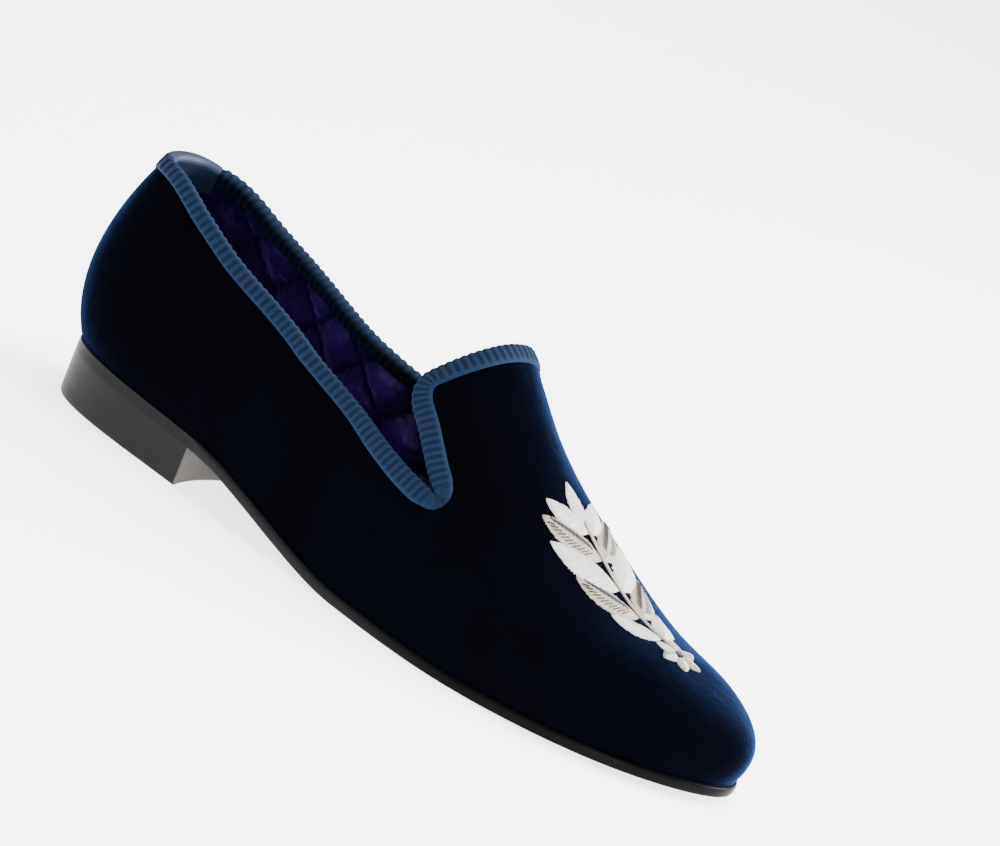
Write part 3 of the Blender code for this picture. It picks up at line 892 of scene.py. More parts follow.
def ribbon_half(side):
    """One half of the ribbon: its sections, and four numbers for each of them along its run."""
    edge = EDGES[side]
    first = collar_place(side, RIBBON_START) * TAB_SHARE[side]
    path, at = evenly(side, np.concatenate([
        edge.quarter(first + (edge.end - first) * steps(300))[:-1],
        edge.notch(np.linspace(-1, 1, 40))[:-1],
        edge.tongue_side(steps(120))[:-1],
        edge.rounded(steps(60))[:-1],
        edge.top(steps(80)),
    ]), RIBBON_STEP)
    turn = np.interp(path[:, 0], [place_of(EASE_AT), edge.end], [0.0, 1.0])
    from_notch = at - at[np.argmax(path[:, 0])]
    on_tongue = np.maximum(ease(turn), from_notch > 0)
    gather = np.exp(-(from_notch / GATHERED) ** 2)
    crease = np.exp(-(from_notch / MITRE) ** 2)
    wide = RIBBON_WIDE + (RIBBON_ON_TONGUE - RIBBON_WIDE) * on_tongue
    wide = wide * (1 - NOTCH_NARROWER * gather)
    thick = RIBBON_THICK * (THIN_SHARE + (1 - THIN_SHARE) * ease(at / THIN_END))
    thick = thick * (1 - MITRE_DEEP * crease)
    profile = rim_rows(wide, thick, RIBBON_RIM)
    profile += [(wide * k, thick) for k in RIBBON_FACE]
    profile += arch(thick, RIBBON_LOOSE + thick, FOLD_STEPS)
    profile += [(RIBBON_WIDE * k, -WALL - thick) for k in RIBBON_BACK]
    profile += [(RIBBON_WIDE, -WALL - 0.5 * thick), (RIBBON_WIDE, -WALL + 0.2)]
    ridge = ease((at - CLEAR_OF_TAB) / 2.0) * (1 - TONGUE_FLATTER * on_tongue)
    ridge = ridge * (1 - GATHER_FLATTER * gather)
    run = np.append(0.0, np.cumsum(np.diff(at) * (1 + TONGUE_TIGHTER * on_tongue[1:])))
    return folded(side, path, profile), run, ridge, gather, crease


sections, runs, *shares = zip(*(ribbon_half(side) for side in SIDES))
meet = 0.5 * (sections[0][-1:] + sections[1][-1:])
ribbon_sections = np.concatenate([sections[0][:-1], meet, sections[1][-2::-1]])
ribbon_run = np.concatenate([runs[0], runs[0][-1] + (runs[1][-1] - runs[1][-2::-1])])
ridge_run, gather_run, crease_run = (np.concatenate([a, b[-2::-1]])[:, None] for a, b in shares)
print("ribbon length:", round(float(ribbon_run[-1])), "mm")

# %% [markdown]
# The ribs repeat along the ribbon, and later the stitches repeat over the leaves. Geometry Nodes is made
# for that. These helpers start a tree with named inputs, add a node with its settings and links, end a
# tree by making everything real and giving it its material, and run a tree on a piece.


# %% Geometry Nodes helpers
def new_tree(name, inputs):
    """A Geometry Nodes tree with a geometry in and out and named inputs, and its inputs' sockets."""
    tree = bpy.data.node_groups.new(name, "GeometryNodeTree")
    tree.interface.new_socket("Geometry", in_out="INPUT", socket_type="NodeSocketGeometry")
    for key, value in inputs.items():
        kind = "NodeSocketMaterial" if isinstance(value, bpy.types.Material) else "NodeSocketFloat"
        tree.interface.new_socket(key, in_out="INPUT", socket_type=kind)
    tree.interface.new_socket("Geometry", in_out="OUTPUT", socket_type="NodeSocketGeometry")
    return tree, tree.nodes.new("NodeGroupInput").outputs


def step_in(tree, kind, settings=None, links=None, output=0):
    """One node of a tree, with its settings and its sockets' values or links: gives an output."""
    made = tree.nodes.new(kind)
    for key, value in (settings or {}).items():
        setattr(made, key, value)
    for key, value in (links or {}).items():
        if isinstance(value, bpy.types.NodeSocket):
            tree.links.new(value, made.inputs[key])
        else:
            made.inputs[key].default_value = value
    return made.outputs[output]


def sum_in(tree, operation, a, b=0.0):
    return step_in(tree, "ShaderNodeMath", {"operation": operation}, {0: a, 1: b})


def read_in(tree, name, kind="FLOAT"):
    """The values that a mesh stores under a name."""
    return step_in(tree, "GeometryNodeInputNamedAttribute", {"data_type": kind}, {"Name": name},
                   "Attribute")


def dress(tree, made, cloth):
    """The end of a tree: instances made real, shaded smooth and given their material."""
    real = step_in(tree, "GeometryNodeRealizeInstances", None, {0: made})
    smooth = step_in(tree, "GeometryNodeSetShadeSmooth", None, {0: real})
    dressed = step_in(tree, "GeometryNodeSetMaterial", None, {"Geometry": smooth, "Material": cloth})
    tree.links.new(dressed, tree.nodes.new("NodeGroupOutput").inputs[0])
    print(tree.name, len(tree.nodes), "nodes")


def grow(piece, tree, inputs):
    """Run a tree on a piece and keep the result as its plain mesh."""
    tool = piece.modifiers.new(tree.name, "NODES")
    tool.node_group = tree
    for item in tree.interface.items_tree:
        if item.in_out == "INPUT" and item.name in inputs:
            tool[item.identifier] = inputs[item.name]
    graph = bpy.context.evaluated_depsgraph_get()
    made = bpy.data.meshes.new_from_object(piece.evaluated_get(graph))
    piece.modifiers.remove(tool)
    piece.data = made


# %% [markdown]
# The ribbon is woven with rounded ribs across its width, about 3 mm apart, and a plain selvedge along the
# side that is sewn to the velvet. The tree raises the ribs from the distance that is stored along the
# strip. It also stores how high each point lies on its rib, so that the finish can paint shade into the
# grooves. The finish also paints shade on the face that is turned into the shoe, in the gather at the
# notch and along the mitre crease.

# %% Ribbed ribbon
RIB_PITCH = 3.1
RIB_HEIGHT = 0.46
RIB_ROUND = 1.5
RIM_RIDGE = (0.0, 0.0, 0.1, 0.4, 0.9)
STRAND_PITCH = 0.62
FOLD_ROW = 13.0
FOLD_BLEND = 3.0
GATHER_SHADE = 0.3
CREASE_SHADE = 0.9

ribbon = Finish("ribbed_ribbon", Roughness=0.75, Specular_IOR_Level=0.08, Sheen_Weight=0.2,
                Sheen_Roughness=0.4, Sheen_Tint=colour(0.06, 0.16, 0.36))
strand = (ribbon.note("along") * (2 * math.pi / STRAND_PITCH)).math("SINE")
weave = ribbon.noise(1500.0)
# Painted shade: the grooves between the ribs take a deeper colour than the crests.
groove_shade_mask = ribbon.range(ribbon.note("rib"), 0.35, 0.92)
yarn = groove_shade_mask * (0.55 + 0.7 * weave) + 0.16 * strand
face = ribbon.mix(yarn, colour(0.0012, 0.0046, 0.0140), colour(0.0041, 0.0144, 0.0380))
# Painted shade: the face turned into the shoe, the gather and the mitre crease take these deeper colours,
# through the note inside.
back = ribbon.mix(yarn, colour(0.0005, 0.0015, 0.0050), colour(0.0018, 0.0050, 0.0140))
ribbon.set(Base_Color=ribbon.mix(ribbon.note("inside"), face, back))
ribbon.bump(0.5 * strand + weave, 0.5, 0.12)

rib_inputs = {"Pitch": RIB_PITCH, "Height": RIB_HEIGHT * MM, "Cloth": ribbon.material}
rib_tree, given = new_tree("ribs_across_ribbon", rib_inputs)
mask = read_in(rib_tree, "ridge")
turns = sum_in(rib_tree, "DIVIDE", read_in(rib_tree, "along"), given["Pitch"])
wave = sum_in(rib_tree, "SINE", sum_in(rib_tree, "MULTIPLY", turns, math.pi))
rib = sum_in(rib_tree, "POWER", sum_in(rib_tree, "ABSOLUTE", wave), RIB_ROUND)
lift = sum_in(rib_tree, "MULTIPLY", sum_in(rib_tree, "MULTIPLY", rib, mask), given["Height"])
offset = step_in(rib_tree, "ShaderNodeVectorMath", {"operation": "SCALE"},
                 {0: step_in(rib_tree, "GeometryNodeInputNormal"), "Scale": lift})
ribbed = step_in(rib_tree, "GeometryNodeSetPosition", None,
                 {"Geometry": given["Geometry"], "Offset": offset})
height = sum_in(rib_tree, "MAXIMUM", rib, sum_in(rib_tree, "SUBTRACT", 1.0, mask))
noted = step_in(rib_tree, "GeometryNodeStoreNamedAttribute", {"data_type": "FLOAT", "domain": "POINT"},
                {"Geometry": ribbed, "Name": "rib", "Value": height})
dress(rib_tree, noted, given["Cloth"])

ribbon_tube, ribbon_fans = closed_strip(ribbon_sections)
ridge_row = np.ones(ribbon_tube.shape[1])
ridge_row[:len(RIM_RIDGE)] = RIM_RIDGE
ridge_row[-3:] = 0.0
# Painted shade on the rows past the fold, inside the shoe, and over the gather and the mitre crease.
inner_face_shade = ease((np.arange(len(ridge_row)) - FOLD_ROW) / FOLD_BLEND)
inner_face_shade[-1] = 0.0
fold_shade = np.maximum(GATHER_SHADE * gather_run, CREASE_SHADE * crease_run)
ribbon_work = Patchwork()
ribbon_work.add(ribbon_tube, along=ribbon_run[:, None], ridge=ridge_row * ridge_run,
                inside=np.maximum(inner_face_shade, fold_shade))
for row, flip, fan in ribbon_fans:
    ribbon_work.add(fan, flip, along=ribbon_run[row], ridge=0.0, inside=0.0)
collar_ribbon = ribbon_work.build("collar_ribbon", ribbon.material)
grow(collar_ribbon, rib_tree, rib_inputs)
settle(collar_ribbon, "collar_binding")

# %% [markdown]
# At the back a strip of smooth leather is folded over the edge in place of the ribbon. It covers both of
# the ribbon's ends and reaches less far round the outer side. It is thin skin, slightly domed, so its rim
# is soft, and a fine grain of small cells breaks up its long highlight.

# %% Heel tab
tab_leather = Finish("navy_leather", Roughness=0.42, Specular_IOR_Level=0.31,
                     Specular_Tint=colour(0.58, 0.74, 1.0))
shade = tab_leather.noise(220.0, 3.0)
tab_leather.set(Base_Color=tab_leather.mix(shade, colour(0.004, 0.007, 0.019),
                                           colour(0.010, 0.016, 0.036)))
tab_leather.set(Roughness=0.36 + 0.16 * shade)
tab_leather.bump(tab_leather.cells(1300.0) + 0.3 * shade, 0.35, 0.12)

TAB_WIDE = 7.2
TAB_DEEP = 13.0
TAB_CORNER = 4.9
TAB_THICK = 1.05
TAB_PUFF = 0.25
TAB_RISE = 1.5
TAB_DOME = 1.6
TAB_STEP = 0.5
TAB_FOLD_STEPS = 13
TAB_RIM = ((0.0, 0.05, 0.0), (0.08, 0.0, 0.3), (0.4, 0.0, 0.5))
TAB_FACE = (0.85, 0.7, 0.55, 0.4, 0.25, 0.1)
TAB_BACK = (0.1, 0.3, 0.5, 0.7, 0.86, 0.95)


def tab_profile(reach):
    """The folded section of the tab: reach runs from 0 at the back to 1 at its ends."""
    middle = 1 - reach ** 2
    thick = (TAB_THICK + TAB_PUFF * middle) * (1 - 0.12 * reach ** 14)
    wide = TAB_CORNER + (TAB_WIDE - TAB_CORNER) * middle
    deep_in = TAB_DEEP - 0.5 * (TAB_DEEP - TAB_CORNER) * reach ** 2
    rows = rim_rows(wide, thick, TAB_RIM)
    rows += [(wide * k, thick * (1 - 0.35 * k ** 2)) for k in TAB_FACE]
    rows += arch(thick, TAB_RISE + TAB_DOME * middle, TAB_FOLD_STEPS)
    rows += [(deep_in * k, -WALL - thick * (1 - 0.3 * k ** 2)) for k in TAB_BACK]
    return rows + [(deep_in, -WALL - 0.6), (deep_in, -WALL + 0.4)]


def tab_half(side):
    return EDGES[side].quarter(collar_place(side, TAB_AT) * TAB_SHARE[side] * steps(160))


# The inner half is read backwards from the outer side, so that the tab is one strip round the back.
inner_half = tab_half(INNER)[:0:-1] * (-1, 1)
tab_path, tab_run = evenly(OUTER, np.concatenate([inner_half, tab_half(OUTER)]), TAB_STEP)
back_at = np.interp(0.0, tab_path[:, 0], tab_run)
past_back = tab_run - back_at
reach = np.where(past_back < 0, -past_back / back_at, past_back / past_back[-1])
tab_tube, tab_fans = closed_strip(folded(OUTER, tab_path, tab_profile(reach)))
tab_work = Patchwork()
tab_work.add(tab_tube)
for _, flip, fan in tab_fans:
    tab_work.add(fan, flip)
settle(tab_work.build("heel_tab_leather", tab_leather.material), "heel_tab")

# %% [markdown]
# The sole is one thin sheet of leather with its edge trimmed, blacked and polished. A section of that
# edge, with a small bevel above and a rounded lower corner, is carried round the outline. Over the heel
# the edge is trimmed closer. The underside and the top are grids between the two sides.

# %% Blacked leather sole
blacked = Finish("blacked_leather", Roughness=0.4, Specular_IOR_Level=0.032)
fibre = blacked.noise(420.0, 4.0, 0.6)
wear = blacked.noise(60.0, 3.0, 0.55)
# Painted shade: the edge goes from the heel's tone over the seat to near black at the forefoot.
seat_tone, front_shaded_tone = colour(0.0086, 0.0084, 0.0088), colour(0.0003, 0.0003, 0.0005)
edge_painted_shade = blacked.mix(blacked.range(blacked.forward(), -0.01, 0.07), seat_tone, front_shaded_tone)
blacked.set(Base_Color=blacked.mix(0.3 * wear, edge_painted_shade, colour(0.012, 0.011, 0.0105)))
blacked.set(Roughness=0.28 + 0.22 * fibre)
blacked.bump(fibre + 0.5 * wear, 0.2, 0.2)

SEAT_EDGE = 0.3
SEAT_START = 0.5
SEAT_BLEND = 9.0
BEVEL = 3.5
FILL_STEPS = 8
BACK_END = 16.0
TOE_RUN = 6.0
SOLE_RIM = (
    (-1.2, 3.7), (0.35, 3.7), (0.62, 3.55), (0.86, 3.2), (0.98, 2.75), (1.0, 2.1), (0.98, 1.3),
    (0.86, 0.6), (0.6, 0.2), (0.25, 0.0), (-1.2, 0.0),
)
back_v = steps(25) ** 1.4 * place_of(BACK_END)
side_v = np.linspace(place_of(BACK_END), TOE - TOE_RUN, 150)[1:]
toe_v = TOE - TOE_RUN * (1 - steps(15)[1:]) ** 1.3
around = np.concatenate([back_v, side_v, toe_v])


def lifted_plan(plan, up):
    return np.concatenate([plan, (sole_under(plan[..., 0]) + up)[..., None]], -1)


def plan_between(v, out, share):
    """A grid in plan from the outline of one side over to the other."""
    a, b = outline(OUTER, v, out), outline(INNER, v, out)
    return a[:, None] + (b - a)[:, None] * share[None, :, None]


def slab(rim):
    """A flat piece of the sole: its rim carried round the outline, closed above and below by grids."""
    work = Patchwork()
    for side in SIDES:
        x = RING.at(along(side, around))[:, :1]
        seat = 1 - ease((x - HEEL_LENGTH + SEAT_START) / SEAT_BLEND)
        rows = []
        for out, up in rim:
            close = SEAT_EDGE if 0.0 < out and up < BEVEL else min(out, SEAT_EDGE)
            plan = outline(side, around, out) * (1 - seat) + outline(side, around, close) * seat
            rows.append(lifted_plan(plan, up))
        work.add(np.stack(rows, 1), side == OUTER)
    for (out, up), flip in ((rim[0], False), (rim[-1], True)):
        work.add(lifted_plan(plan_between(around, out, steps(FILL_STEPS)), up), flip)
    return work


outsole = slab(SOLE_RIM).build("leather_outsole", blacked.material, sharp=50.0)
settle(outsole, "outsole")

# %% [markdown]
# The heel is a low block, blacked like the sole. Its front face is hollowed in a shallow curve, and its
# edges are only just broken. Rings of points stacked from the floor to the seat give all of that. The
# front face is painted much paler, as a painted reflection of light, so its points carry a number that
# the finish reads.

# %% Heel block
block = Finish("heel_block", Roughness=0.42, Specular_IOR_Level=0.075)
smear = block.noise(90.0, 3.0)
drawn_out = {"Vector": block.place, "Scale": (60.0, 60.0, 900.0)}
lengthwise = block.node("ShaderNodeMapping", None, drawn_out)
scratch = block.node("ShaderNodeTexNoise", None, {"Vector": lengthwise, "Scale": 1.0, "Detail": 3.0})
block_sides = block.mix(smear, colour(0.0046, 0.0042, 0.0043), colour(0.0074, 0.0068, 0.0068))
# Painted reflection: the hollow front face is much paler than the sides.
block.set(Base_Color=block.mix(block.note("breast"), block_sides, colour(0.071, 0.061, 0.056)))
block.set(Roughness=0.34 + 0.2 * scratch)
block.bump(scratch, 0.12, 0.15)

HEEL_HOLLOW = 4.9
HOLLOW_LEAN = 0.5
HOLLOW_COLUMNS = 16
HEEL_LEVELS = ((0.0, -0.9), (0.02, -0.6), (0.06, -0.45), (0.35, -0.2), (0.7, 0.1), (1.0, SEAT_EDGE))
heel_v = np.concatenate([back_v, np.linspace(back_v[-1], place_of(HEEL_LENGTH), 40)[1:]])
over = steps(30)
hollow_v = heel_v[-HOLLOW_COLUMNS]
near_front = np.clip((heel_v - hollow_v) / (heel_v[-1] - hollow_v), 0, 1)[:, None]
layers = []
for level, out in HEEL_LEVELS:
    plan = plan_between(heel_v, out, over)
    plan[..., 0] -= (HEEL_HOLLOW - HOLLOW_LEAN * out) * near_front * (1 - (2 * over - 1) ** 2)[None]
    layers.append(np.concatenate([plan, level * sole_under(plan[..., :1])], -1))
heel_work = Patchwork()
heel_work.add(layers[0], True, breast=0.0)
heel_work.add(layers[-1], breast=0.0)
rings = [np.concatenate([a[:, 0], a[-1, 1:], a[-2::-1, -1]]) for a in layers]
lit_front_face = np.zeros((len(rings[0]), 1))
lit_front_face[len(heel_v):len(heel_v) + len(over) - 2] = 1.0
heel_work.add(np.stack(rings, 1), breast=lit_front_face)
settle(heel_work.build("heel_block", block.material, sharp=35.0), "heel")

# %% [markdown]
# The foot stands on a soft sock of dark leather over the insole board. Little of it shows, so a sheet with
# a rounded rim and a slight crown, and the grain of the leather, are enough.

# %% Insole
sock = Finish("sock_leather", Roughness=0.6, Specular_IOR_Level=0.15, Sheen_Weight=0.05,
              Sheen_Tint=colour(0.3, 0.2, 0.7))
sock.set(Base_Color=sock.mix(sock.noise(80.0, 3.0), colour(0.0060, 0.0030, 0.017),
                             colour(0.0120, 0.0055, 0.034)))
sock.bump(sock.cells(700.0), 0.35, 0.2)
SOCK_RIM = ((-5.0, 6.35), (-4.0, 6.3), (-3.4, 6.05), (-3.2, 5.5), (-3.2, 4.5), (-4.2, 4.3))
settle(slab(SOCK_RIM).build("insole_sock", sock.material), "insole")

# %% [markdown]
# The front carries a sprig of leaves with a rosette, in raised embroidery. The drawing is made on a flat
# sheet, in millimetres along the crest and across it. To lay the sheet on the velvet, a grid of rays is
# dropped on the shoe, and the distances over the surface are added up from their hits.

# %% The front of the shoe as a sheet to draw on
SHEET_STEP = 1.5
SHEET_X = np.arange(178.0, 266.0, SHEET_STEP)
SHEET_Y = np.arange(-38.0, 46.0, SHEET_STEP)
SHEET_Q = np.arange(-48.0, 48.0, SHEET_STEP)
CREST_Y = 3.5
RAY_FROM = 0.2
MISSED = 5.0
FEEL = 0.8

velvet_rays = BVHTree.FromObject(velvet_upper, bpy.context.evaluated_depsgraph_get())


def height_at(x, y):
    start = Vector(((x - MIDDLE[0]) * MM, (y - MIDDLE[1]) * MM, RAY_FROM))
    hit = velvet_rays.ray_cast(start, Vector((0, 0, -1)))[0]
    return hit.z / MM if hit else MISSED


def blend(grid, a, b):
    """Read a grid between its rows and columns, at the places a and b counted in steps."""
    a = np.clip(a, 0, grid.shape[0] - 1.001)
    b = np.clip(b, 0, grid.shape[1] - 1.001)
    i, j = a.astype(int), b.astype(int)
    s, t = a - i, b - j
    low = grid[i, j] * (1 - t) + grid[i, j + 1] * t
    return low * (1 - s) + (grid[i + 1, j] * (1 - t) + grid[i + 1, j + 1] * t) * s


def y_on_row(row):
    """Where the steps of the sheet fall across the shoe, along one row of heights."""
    q = run_of(np.column_stack([SHEET_Y, row]))
    return np.interp(SHEET_Q, q - np.interp(CREST_Y, SHEET_Y, q), SHEET_Y)


heights = np.array([[height_at(x, y) for y in SHEET_Y] for x in SHEET_X])
crest = np.array([np.interp(CREST_Y, SHEET_Y, row) for row in heights])
crest_run = run_of(np.column_stack([SHEET_X, crest]))
y_of_q = np.array([y_on_row(row) for row in heights])


def laid(p, q):
    """The point of the velvet under a point of the drawing."""
    x = np.interp(p, crest_run, SHEET_X)
    a = (x - SHEET_X[0]) / SHEET_STEP
    y = blend(y_of_q, a, (q - SHEET_Q[0]) / SHEET_STEP)
    return np.stack([x, y, blend(heights, a, (y - SHEET_Y[0]) / SHEET_STEP)], -1)


def raised(drawn, up):
    """Points of the drawing laid on the velvet and lifted off it, with the surface's normal."""
    p, q = drawn[..., 0], drawn[..., 1]
    forwards = laid(p + FEEL, q) - laid(p - FEEL, q)
    sideways = laid(p, q + FEEL) - laid(p, q - FEEL)
    normal = unit(np.cross(forwards, sideways))
    return laid(p, q) + normal * np.asarray(up)[..., None], normal


print("sheet length on the crest:", round(float(crest_run[-1]), 1), "mm")

# %% [markdown]
# Raised embroidery is sewn over a padding. Satin stitches lie side by side over it, from the middle of a
# leaf out to its edge and slanting forwards. Hands are never quite even, so the length and the tone of
# each stitch vary a little, from a generator with a fixed seed.

# %% Stitches of a leaf
WHITE, CREAM, DARK = 0.0, 0.5, 1.0
STITCH = 0.55
PAD_HEIGHT = 0.9
PAD_SHARE = 0.8
PAD_WIDE = 0.94
PAD_ROWS = 20
SLANT = 0.14
RAGGED = 0.09
UNEVEN_TONE = 0.2
END_LIFT = 0.15
LEAF_STEPS = 60
SWELL = ((0.0, 0.15, 0.8, 1.0), (0.3, 1.0, 0.85, 0.2))
dice = np.random.default_rng(7)
stitches = []
padding_work = Patchwork()


def sew(starts, ends, start_lift, end_lift, tone):
    a, up = raised(starts, start_lift)
    b, _ = raised(ends, end_lift)
    for start, end, normal, dye in zip(a, b, up, np.broadcast_to(tone, len(a))):
        stitches.append((start, end - start, normal, dye))


def leaf(base, angle, long, wide, bend, tones):
    """One leaf: a curved middle line, padding under it and satin stitches out to both edges."""
    s = steps(LEAF_STEPS)
    heading = np.radians(angle + bend * s)
    run = np.column_stack([np.cos(heading), np.sin(heading)])
    walked = np.concatenate([[[0.0, 0.0]], np.cumsum(0.5 * (run[1:] + run[:-1]), 0)])
    line = np.array(base) + walked * long / LEAF_STEPS
    half = wide * np.sin(np.pi * s ** 0.85) ** 0.8
    to_side = half[:, None] * np.column_stack([-run[:, 1], run[:, 0]])

    def read(at, rows):
        return np.column_stack([np.interp(at, s, column) for column in rows.T])

    def middle(at):
        return read(at, line)

    def rim(at, hand):
        return middle(at) + hand * read(at, to_side)

    at = np.linspace(0.0, 0.985, int(long / STITCH))
    over = np.linspace(-1.0, 1.0, 9)
    rows = steps(PAD_ROWS)
    half_way = (rim(rows, 1) - middle(rows))[:, None]
    spread = middle(rows)[:, None] + half_way * over[None, :, None] * PAD_WIDE
    domed = np.interp(rows, *SWELL)[:, None] * (1 - over ** 2)[None]
    up = 0.05 + PAD_SHARE * PAD_HEIGHT * domed
    for hand, part, tone in zip((-1, 1), (slice(0, 5), slice(4, 9)), tones):
        padding_work.add(raised(spread[:, part], up[:, part])[0], tone=tone)
        far = np.minimum(at + SLANT, 1.0)
        ragged = (1 + RAGGED * dice.uniform(-1, 1, len(at)))[:, None]
        ends = middle(far) + (rim(far, hand) - middle(far)) * ragged
        tone = tone + dice.uniform(0.0, UNEVEN_TONE, len(at))
        sew(middle(at), ends, PAD_HEIGHT * np.interp(at, *SWELL), END_LIFT, tone)
    return middle, rim


def hatch(middle, rim, count):
    """Fine dark stitches over a leaf, for its veins."""
    at = np.linspace(0.18, 0.8, count)
    for hand in (-1, 1):
        inner = middle(at) * 0.8 + rim(at + 0.02, hand) * 0.2
        outer = middle(at + 0.1) * 0.35 + rim(at + 0.1, hand) * 0.65
        sew(inner, outer, PAD_HEIGHT + 0.2, 0.7 * PAD_HEIGHT, DARK)


# %% [markdown]
# The sprig itself is a short table: pairs of leaves down a stem, white and cream by turns, one leaf at the
# end and a rosette of six petals at the top. The cream leaves get dark veins.

# %% Leaves, rosette and stem
LEAVES = ((75.5, 18.0, 3.9), (65.0, 25.0, 5.0), (53.5, 29.0, 5.5), (42.0, 26.0, 5.1), (32.0, 19.0, 4.0))
LEAF_ANGLE = 56
LEAF_BEND = 26
LEAF_OUT = 0.7
VEINS = 11
STEM_START = 29.0
STEM_HALF = 0.6
STEM_SLANT = 1.7
STEM_LIFT = 0.75
ROSETTE = 83.5
PETALS = 6
PETAL_OUT = 1.5
BUTTON = 1.3
BUTTON_LIFT = 0.9

for row, (at, long, wide) in enumerate(LEAVES):
    tone = CREAM if row % 2 else WHITE
    for hand in (-1, 1):
        shape = leaf((at, LEAF_OUT * hand), 180 - LEAF_ANGLE * hand, long, wide, LEAF_BEND * hand,
                     (tone, tone))
        if tone == CREAM:
            hatch(*shape, VEINS)
leaf((STEM_START, 0.0), 180, 15.5, 3.7, 0.0, (WHITE, WHITE))
for k in range(PETALS):
    angle = 360.0 / PETALS * (k + 0.5)
    turn = math.radians(angle)
    base = (ROSETTE + PETAL_OUT * math.cos(turn), PETAL_OUT * math.sin(turn))
    leaf(base, angle, 6.8, 2.4, 0.0, (CREAM, WHITE))
stem = np.linspace(STEM_START, ROSETTE - 2.0, 84)
sew(np.column_stack([stem, 0 * stem - STEM_HALF]),
    np.column_stack([stem - STEM_SLANT, 0 * stem + STEM_HALF]), STEM_LIFT, STEM_LIFT, CREAM)
turn = np.radians(np.arange(0, 180, 22.5))
spokes = BUTTON * np.column_stack([np.cos(turn), np.sin(turn)])
sew((ROSETTE, 0.0) - spokes, (ROSETTE, 0.0) + spokes, BUTTON_LIFT, BUTTON_LIFT, DARK)
print("stitches:", len(stitches))

# %% [markdown]
# Every stitch is a short bowed thread. The tree makes one such thread, sets it on each stored point, turns
# it to run along its stitch and stretches it to the stitch's length. The silk takes its colour from the
# tone that is stored with the stitch.

# %% Satin stitches
THREAD = 0.26
BOW = 0.24
silk = Finish("embroidery_silk", Roughness=0.42, Specular_IOR_Level=0.35, Sheen_Weight=0.15)
dye = silk.note("tone")
uneven = (dye * 2.0).math("FRACT")
dyed = silk.mix(silk.range(dye, 0.25, 0.35), colour(0.70, 0.69, 0.67), colour(0.40, 0.325, 0.245))
dyed = silk.mix(uneven * 0.9, dyed, colour(0.30, 0.27, 0.24))
dyed = silk.mix(silk.range(dye, 0.75, 0.85), dyed, colour(0.014, 0.013, 0.016))
ply = silk.noise(1800.0)
silk.set(Base_Color=silk.mix(0.25 * ply, dyed, colour(0.10, 0.09, 0.09)))
silk.bump(ply, 0.3, 0.1)

sewn_inputs = {"Thread": THREAD * MM, "Arch": BOW * MM, "Silk": silk.material}
sewn_tree, given = new_tree("satin_stitches", sewn_inputs)
bow = step_in(sewn_tree, "ShaderNodeCombineXYZ", None, {"X": 0.5, "Z": given["Arch"]})
bowed = step_in(sewn_tree, "GeometryNodeCurveQuadraticBezier", None,
                {"Resolution": 5, "Start": (0, 0, 0), "Middle": bow, "End": (1, 0, 0)})
round_of = step_in(sewn_tree, "GeometryNodeCurvePrimitiveCircle", None,
                   {"Resolution": 6, "Radius": given["Thread"]})
thread = step_in(sewn_tree, "GeometryNodeCurveToMesh", None,
                 {"Curve": bowed, "Profile Curve": round_of, "Fill Caps": True})
way, off = (read_in(sewn_tree, name, "FLOAT_VECTOR") for name in ("run", "up"))
turned = step_in(sewn_tree, "FunctionNodeAxesToRotation",
                 {"primary_axis": "X", "secondary_axis": "Z"}, {0: way, 1: off})
stretch = step_in(sewn_tree, "ShaderNodeCombineXYZ", None,
                  {"X": read_in(sewn_tree, "long"), "Y": 1.0, "Z": 1.0})
placed = step_in(sewn_tree, "GeometryNodeInstanceOnPoints", None,
                 {"Points": given["Geometry"], "Instance": thread, "Rotation": turned, "Scale": stretch})
dress(sewn_tree, placed, given["Silk"])

sewn_at, sewn_run, sewn_up, sewn_tone = (np.array(column) for column in zip(*stitches))
sewn_data = bpy.data.meshes.new("embroidery_stitches")
sewn_data.from_pydata(((sewn_at - MIDDLE) * MM).tolist(), [], [])
for name, kind, key, values in (
    ("run", "FLOAT_VECTOR", "vector", sewn_run * MM),
    ("up", "FLOAT_VECTOR", "vector", sewn_up),
    ("long", "FLOAT", "value", size(sewn_run) * MM),
    ("tone", "FLOAT", "value", sewn_tone),
):
    layer = sewn_data.attributes.new(name, kind, "POINT")
    layer.data.foreach_set(key, values.astype(np.float32).ravel())
embroidery = link("embroidery_stitches", sewn_data)
grow(embroidery, sewn_tree, sewn_inputs)
settle(embroidery)
settle(padding_work.build("embroidery_padding", silk.material))

# %% [markdown]
# The camera keeps the angle that the shoe is seen from, with the picture turned a little, as a camera held
# aslant would give. It stands about 1.9 m off with a long lens, so the shoe has little perspective.

# %% Camera
PICTURE = (1000, 846)
AIM = np.array((145.0, 0.0, 40.0))
AIM_PIXEL = (431.6, 475.7)
AZIMUTH, ELEVATION, ROLL = np.radians((32.0, 13.8, 24.9))
PIXELS_PER_MM = 3.136
DISTANCE = 1905.0
SENSOR = 36.0

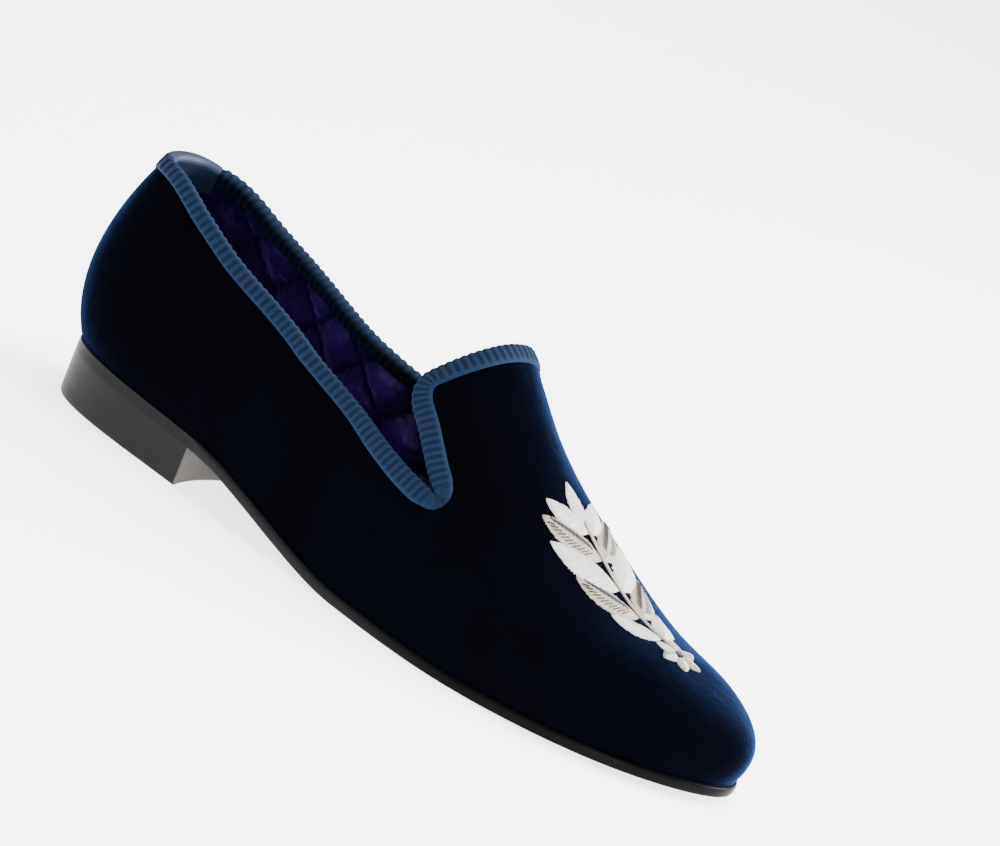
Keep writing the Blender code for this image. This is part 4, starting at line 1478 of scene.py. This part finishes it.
backwards = np.array((math.sin(AZIMUTH) * math.cos(ELEVATION), -math.cos(AZIMUTH) * math.cos(ELEVATION),
                      math.sin(ELEVATION)))
level_way = np.array((math.cos(AZIMUTH), math.sin(AZIMUTH), 0.0))
rightwards = level_way * math.cos(ROLL) + np.cross(backwards, level_way) * math.sin(ROLL)
upwards = np.cross(backwards, rightwards)
eye = AIM + backwards * DISTANCE
centre = (AIM + rightwards * (PICTURE[0] / 2 - AIM_PIXEL[0]) / PIXELS_PER_MM
          + upwards * (AIM_PIXEL[1] - PICTURE[1] / 2) / PIXELS_PER_MM)
towards = unit(eye - centre)
rightwards = unit(np.cross(upwards, towards))
upwards = np.cross(towards, rightwards)
camera = link("camera", bpy.data.cameras.new("camera"))
facing = Matrix(np.column_stack([rightwards, upwards, towards]).tolist()).to_4x4()
camera.matrix_world = Matrix.Translation(Vector((eye - MIDDLE) * MM)) @ facing
camera.data.sensor_width = SENSOR
camera.data.lens = SENSOR * PIXELS_PER_MM * DISTANCE / PICTURE[0]
camera.data.clip_end = 50.0
bpy.context.scene.camera = camera
print("lens:", round(camera.data.lens, 1), "mm")

# %% [markdown]
# A pale floor and large soft lamps stand for a white studio. Velvet needs light from behind and from the
# sides, where it grazes the pile, and the smooth leather needs a broad lamp to reflect.

# %% Floor and lights
FLOOR_HALF = 6
LAMP_AIM = Vector((0, 0, 0.04))
SOFTBOXES = (
    ("overhead", (0.1, 0.3, 1.7), 1.6, 62.0),
    ("behind_toe", (0.9, 1.0, 0.6), 0.9, 70.0),
    ("low_side", (1.0, -1.0, 0.3), 0.5, 14.0),
)
paper = Finish("studio_paper", Roughness=0.9, Specular_IOR_Level=0.1, Emission_Strength=2.8,
               Base_Color=colour(0.93, 0.93, 0.935), Emission_Color=colour(1.0, 0.99, 0.98))
floor_data = bpy.data.meshes.new("floor")
corners = ((-1, -1), (1, -1), (1, 1), (-1, 1))
floor_data.from_pydata([(FLOOR_HALF * x, FLOOR_HALF * y, 0) for x, y in corners], [], [(0, 1, 2, 3)])
floor_data.materials.append(paper.material)
floor = link("floor", floor_data)

for name, place, wide, power in SOFTBOXES:
    lamp = bpy.data.lights.new(name, "AREA")
    lamp.shape = "DISK"
    lamp.size = wide
    lamp.energy = power
    hung = link(name, lamp)
    hung.location = place
    hung.rotation_euler = (LAMP_AIM - Vector(place)).to_track_quat("-Z", "Y").to_euler()
world = bpy.data.worlds.new("studio")
world.use_nodes = True
sky = world.node_tree.nodes["Background"]
sky.inputs["Color"].default_value = colour(0.95, 0.97, 1.0)
sky.inputs["Strength"].default_value = 1.0
bpy.context.scene.world = world
print("lamps:", [name for name, *_ in SOFTBOXES])
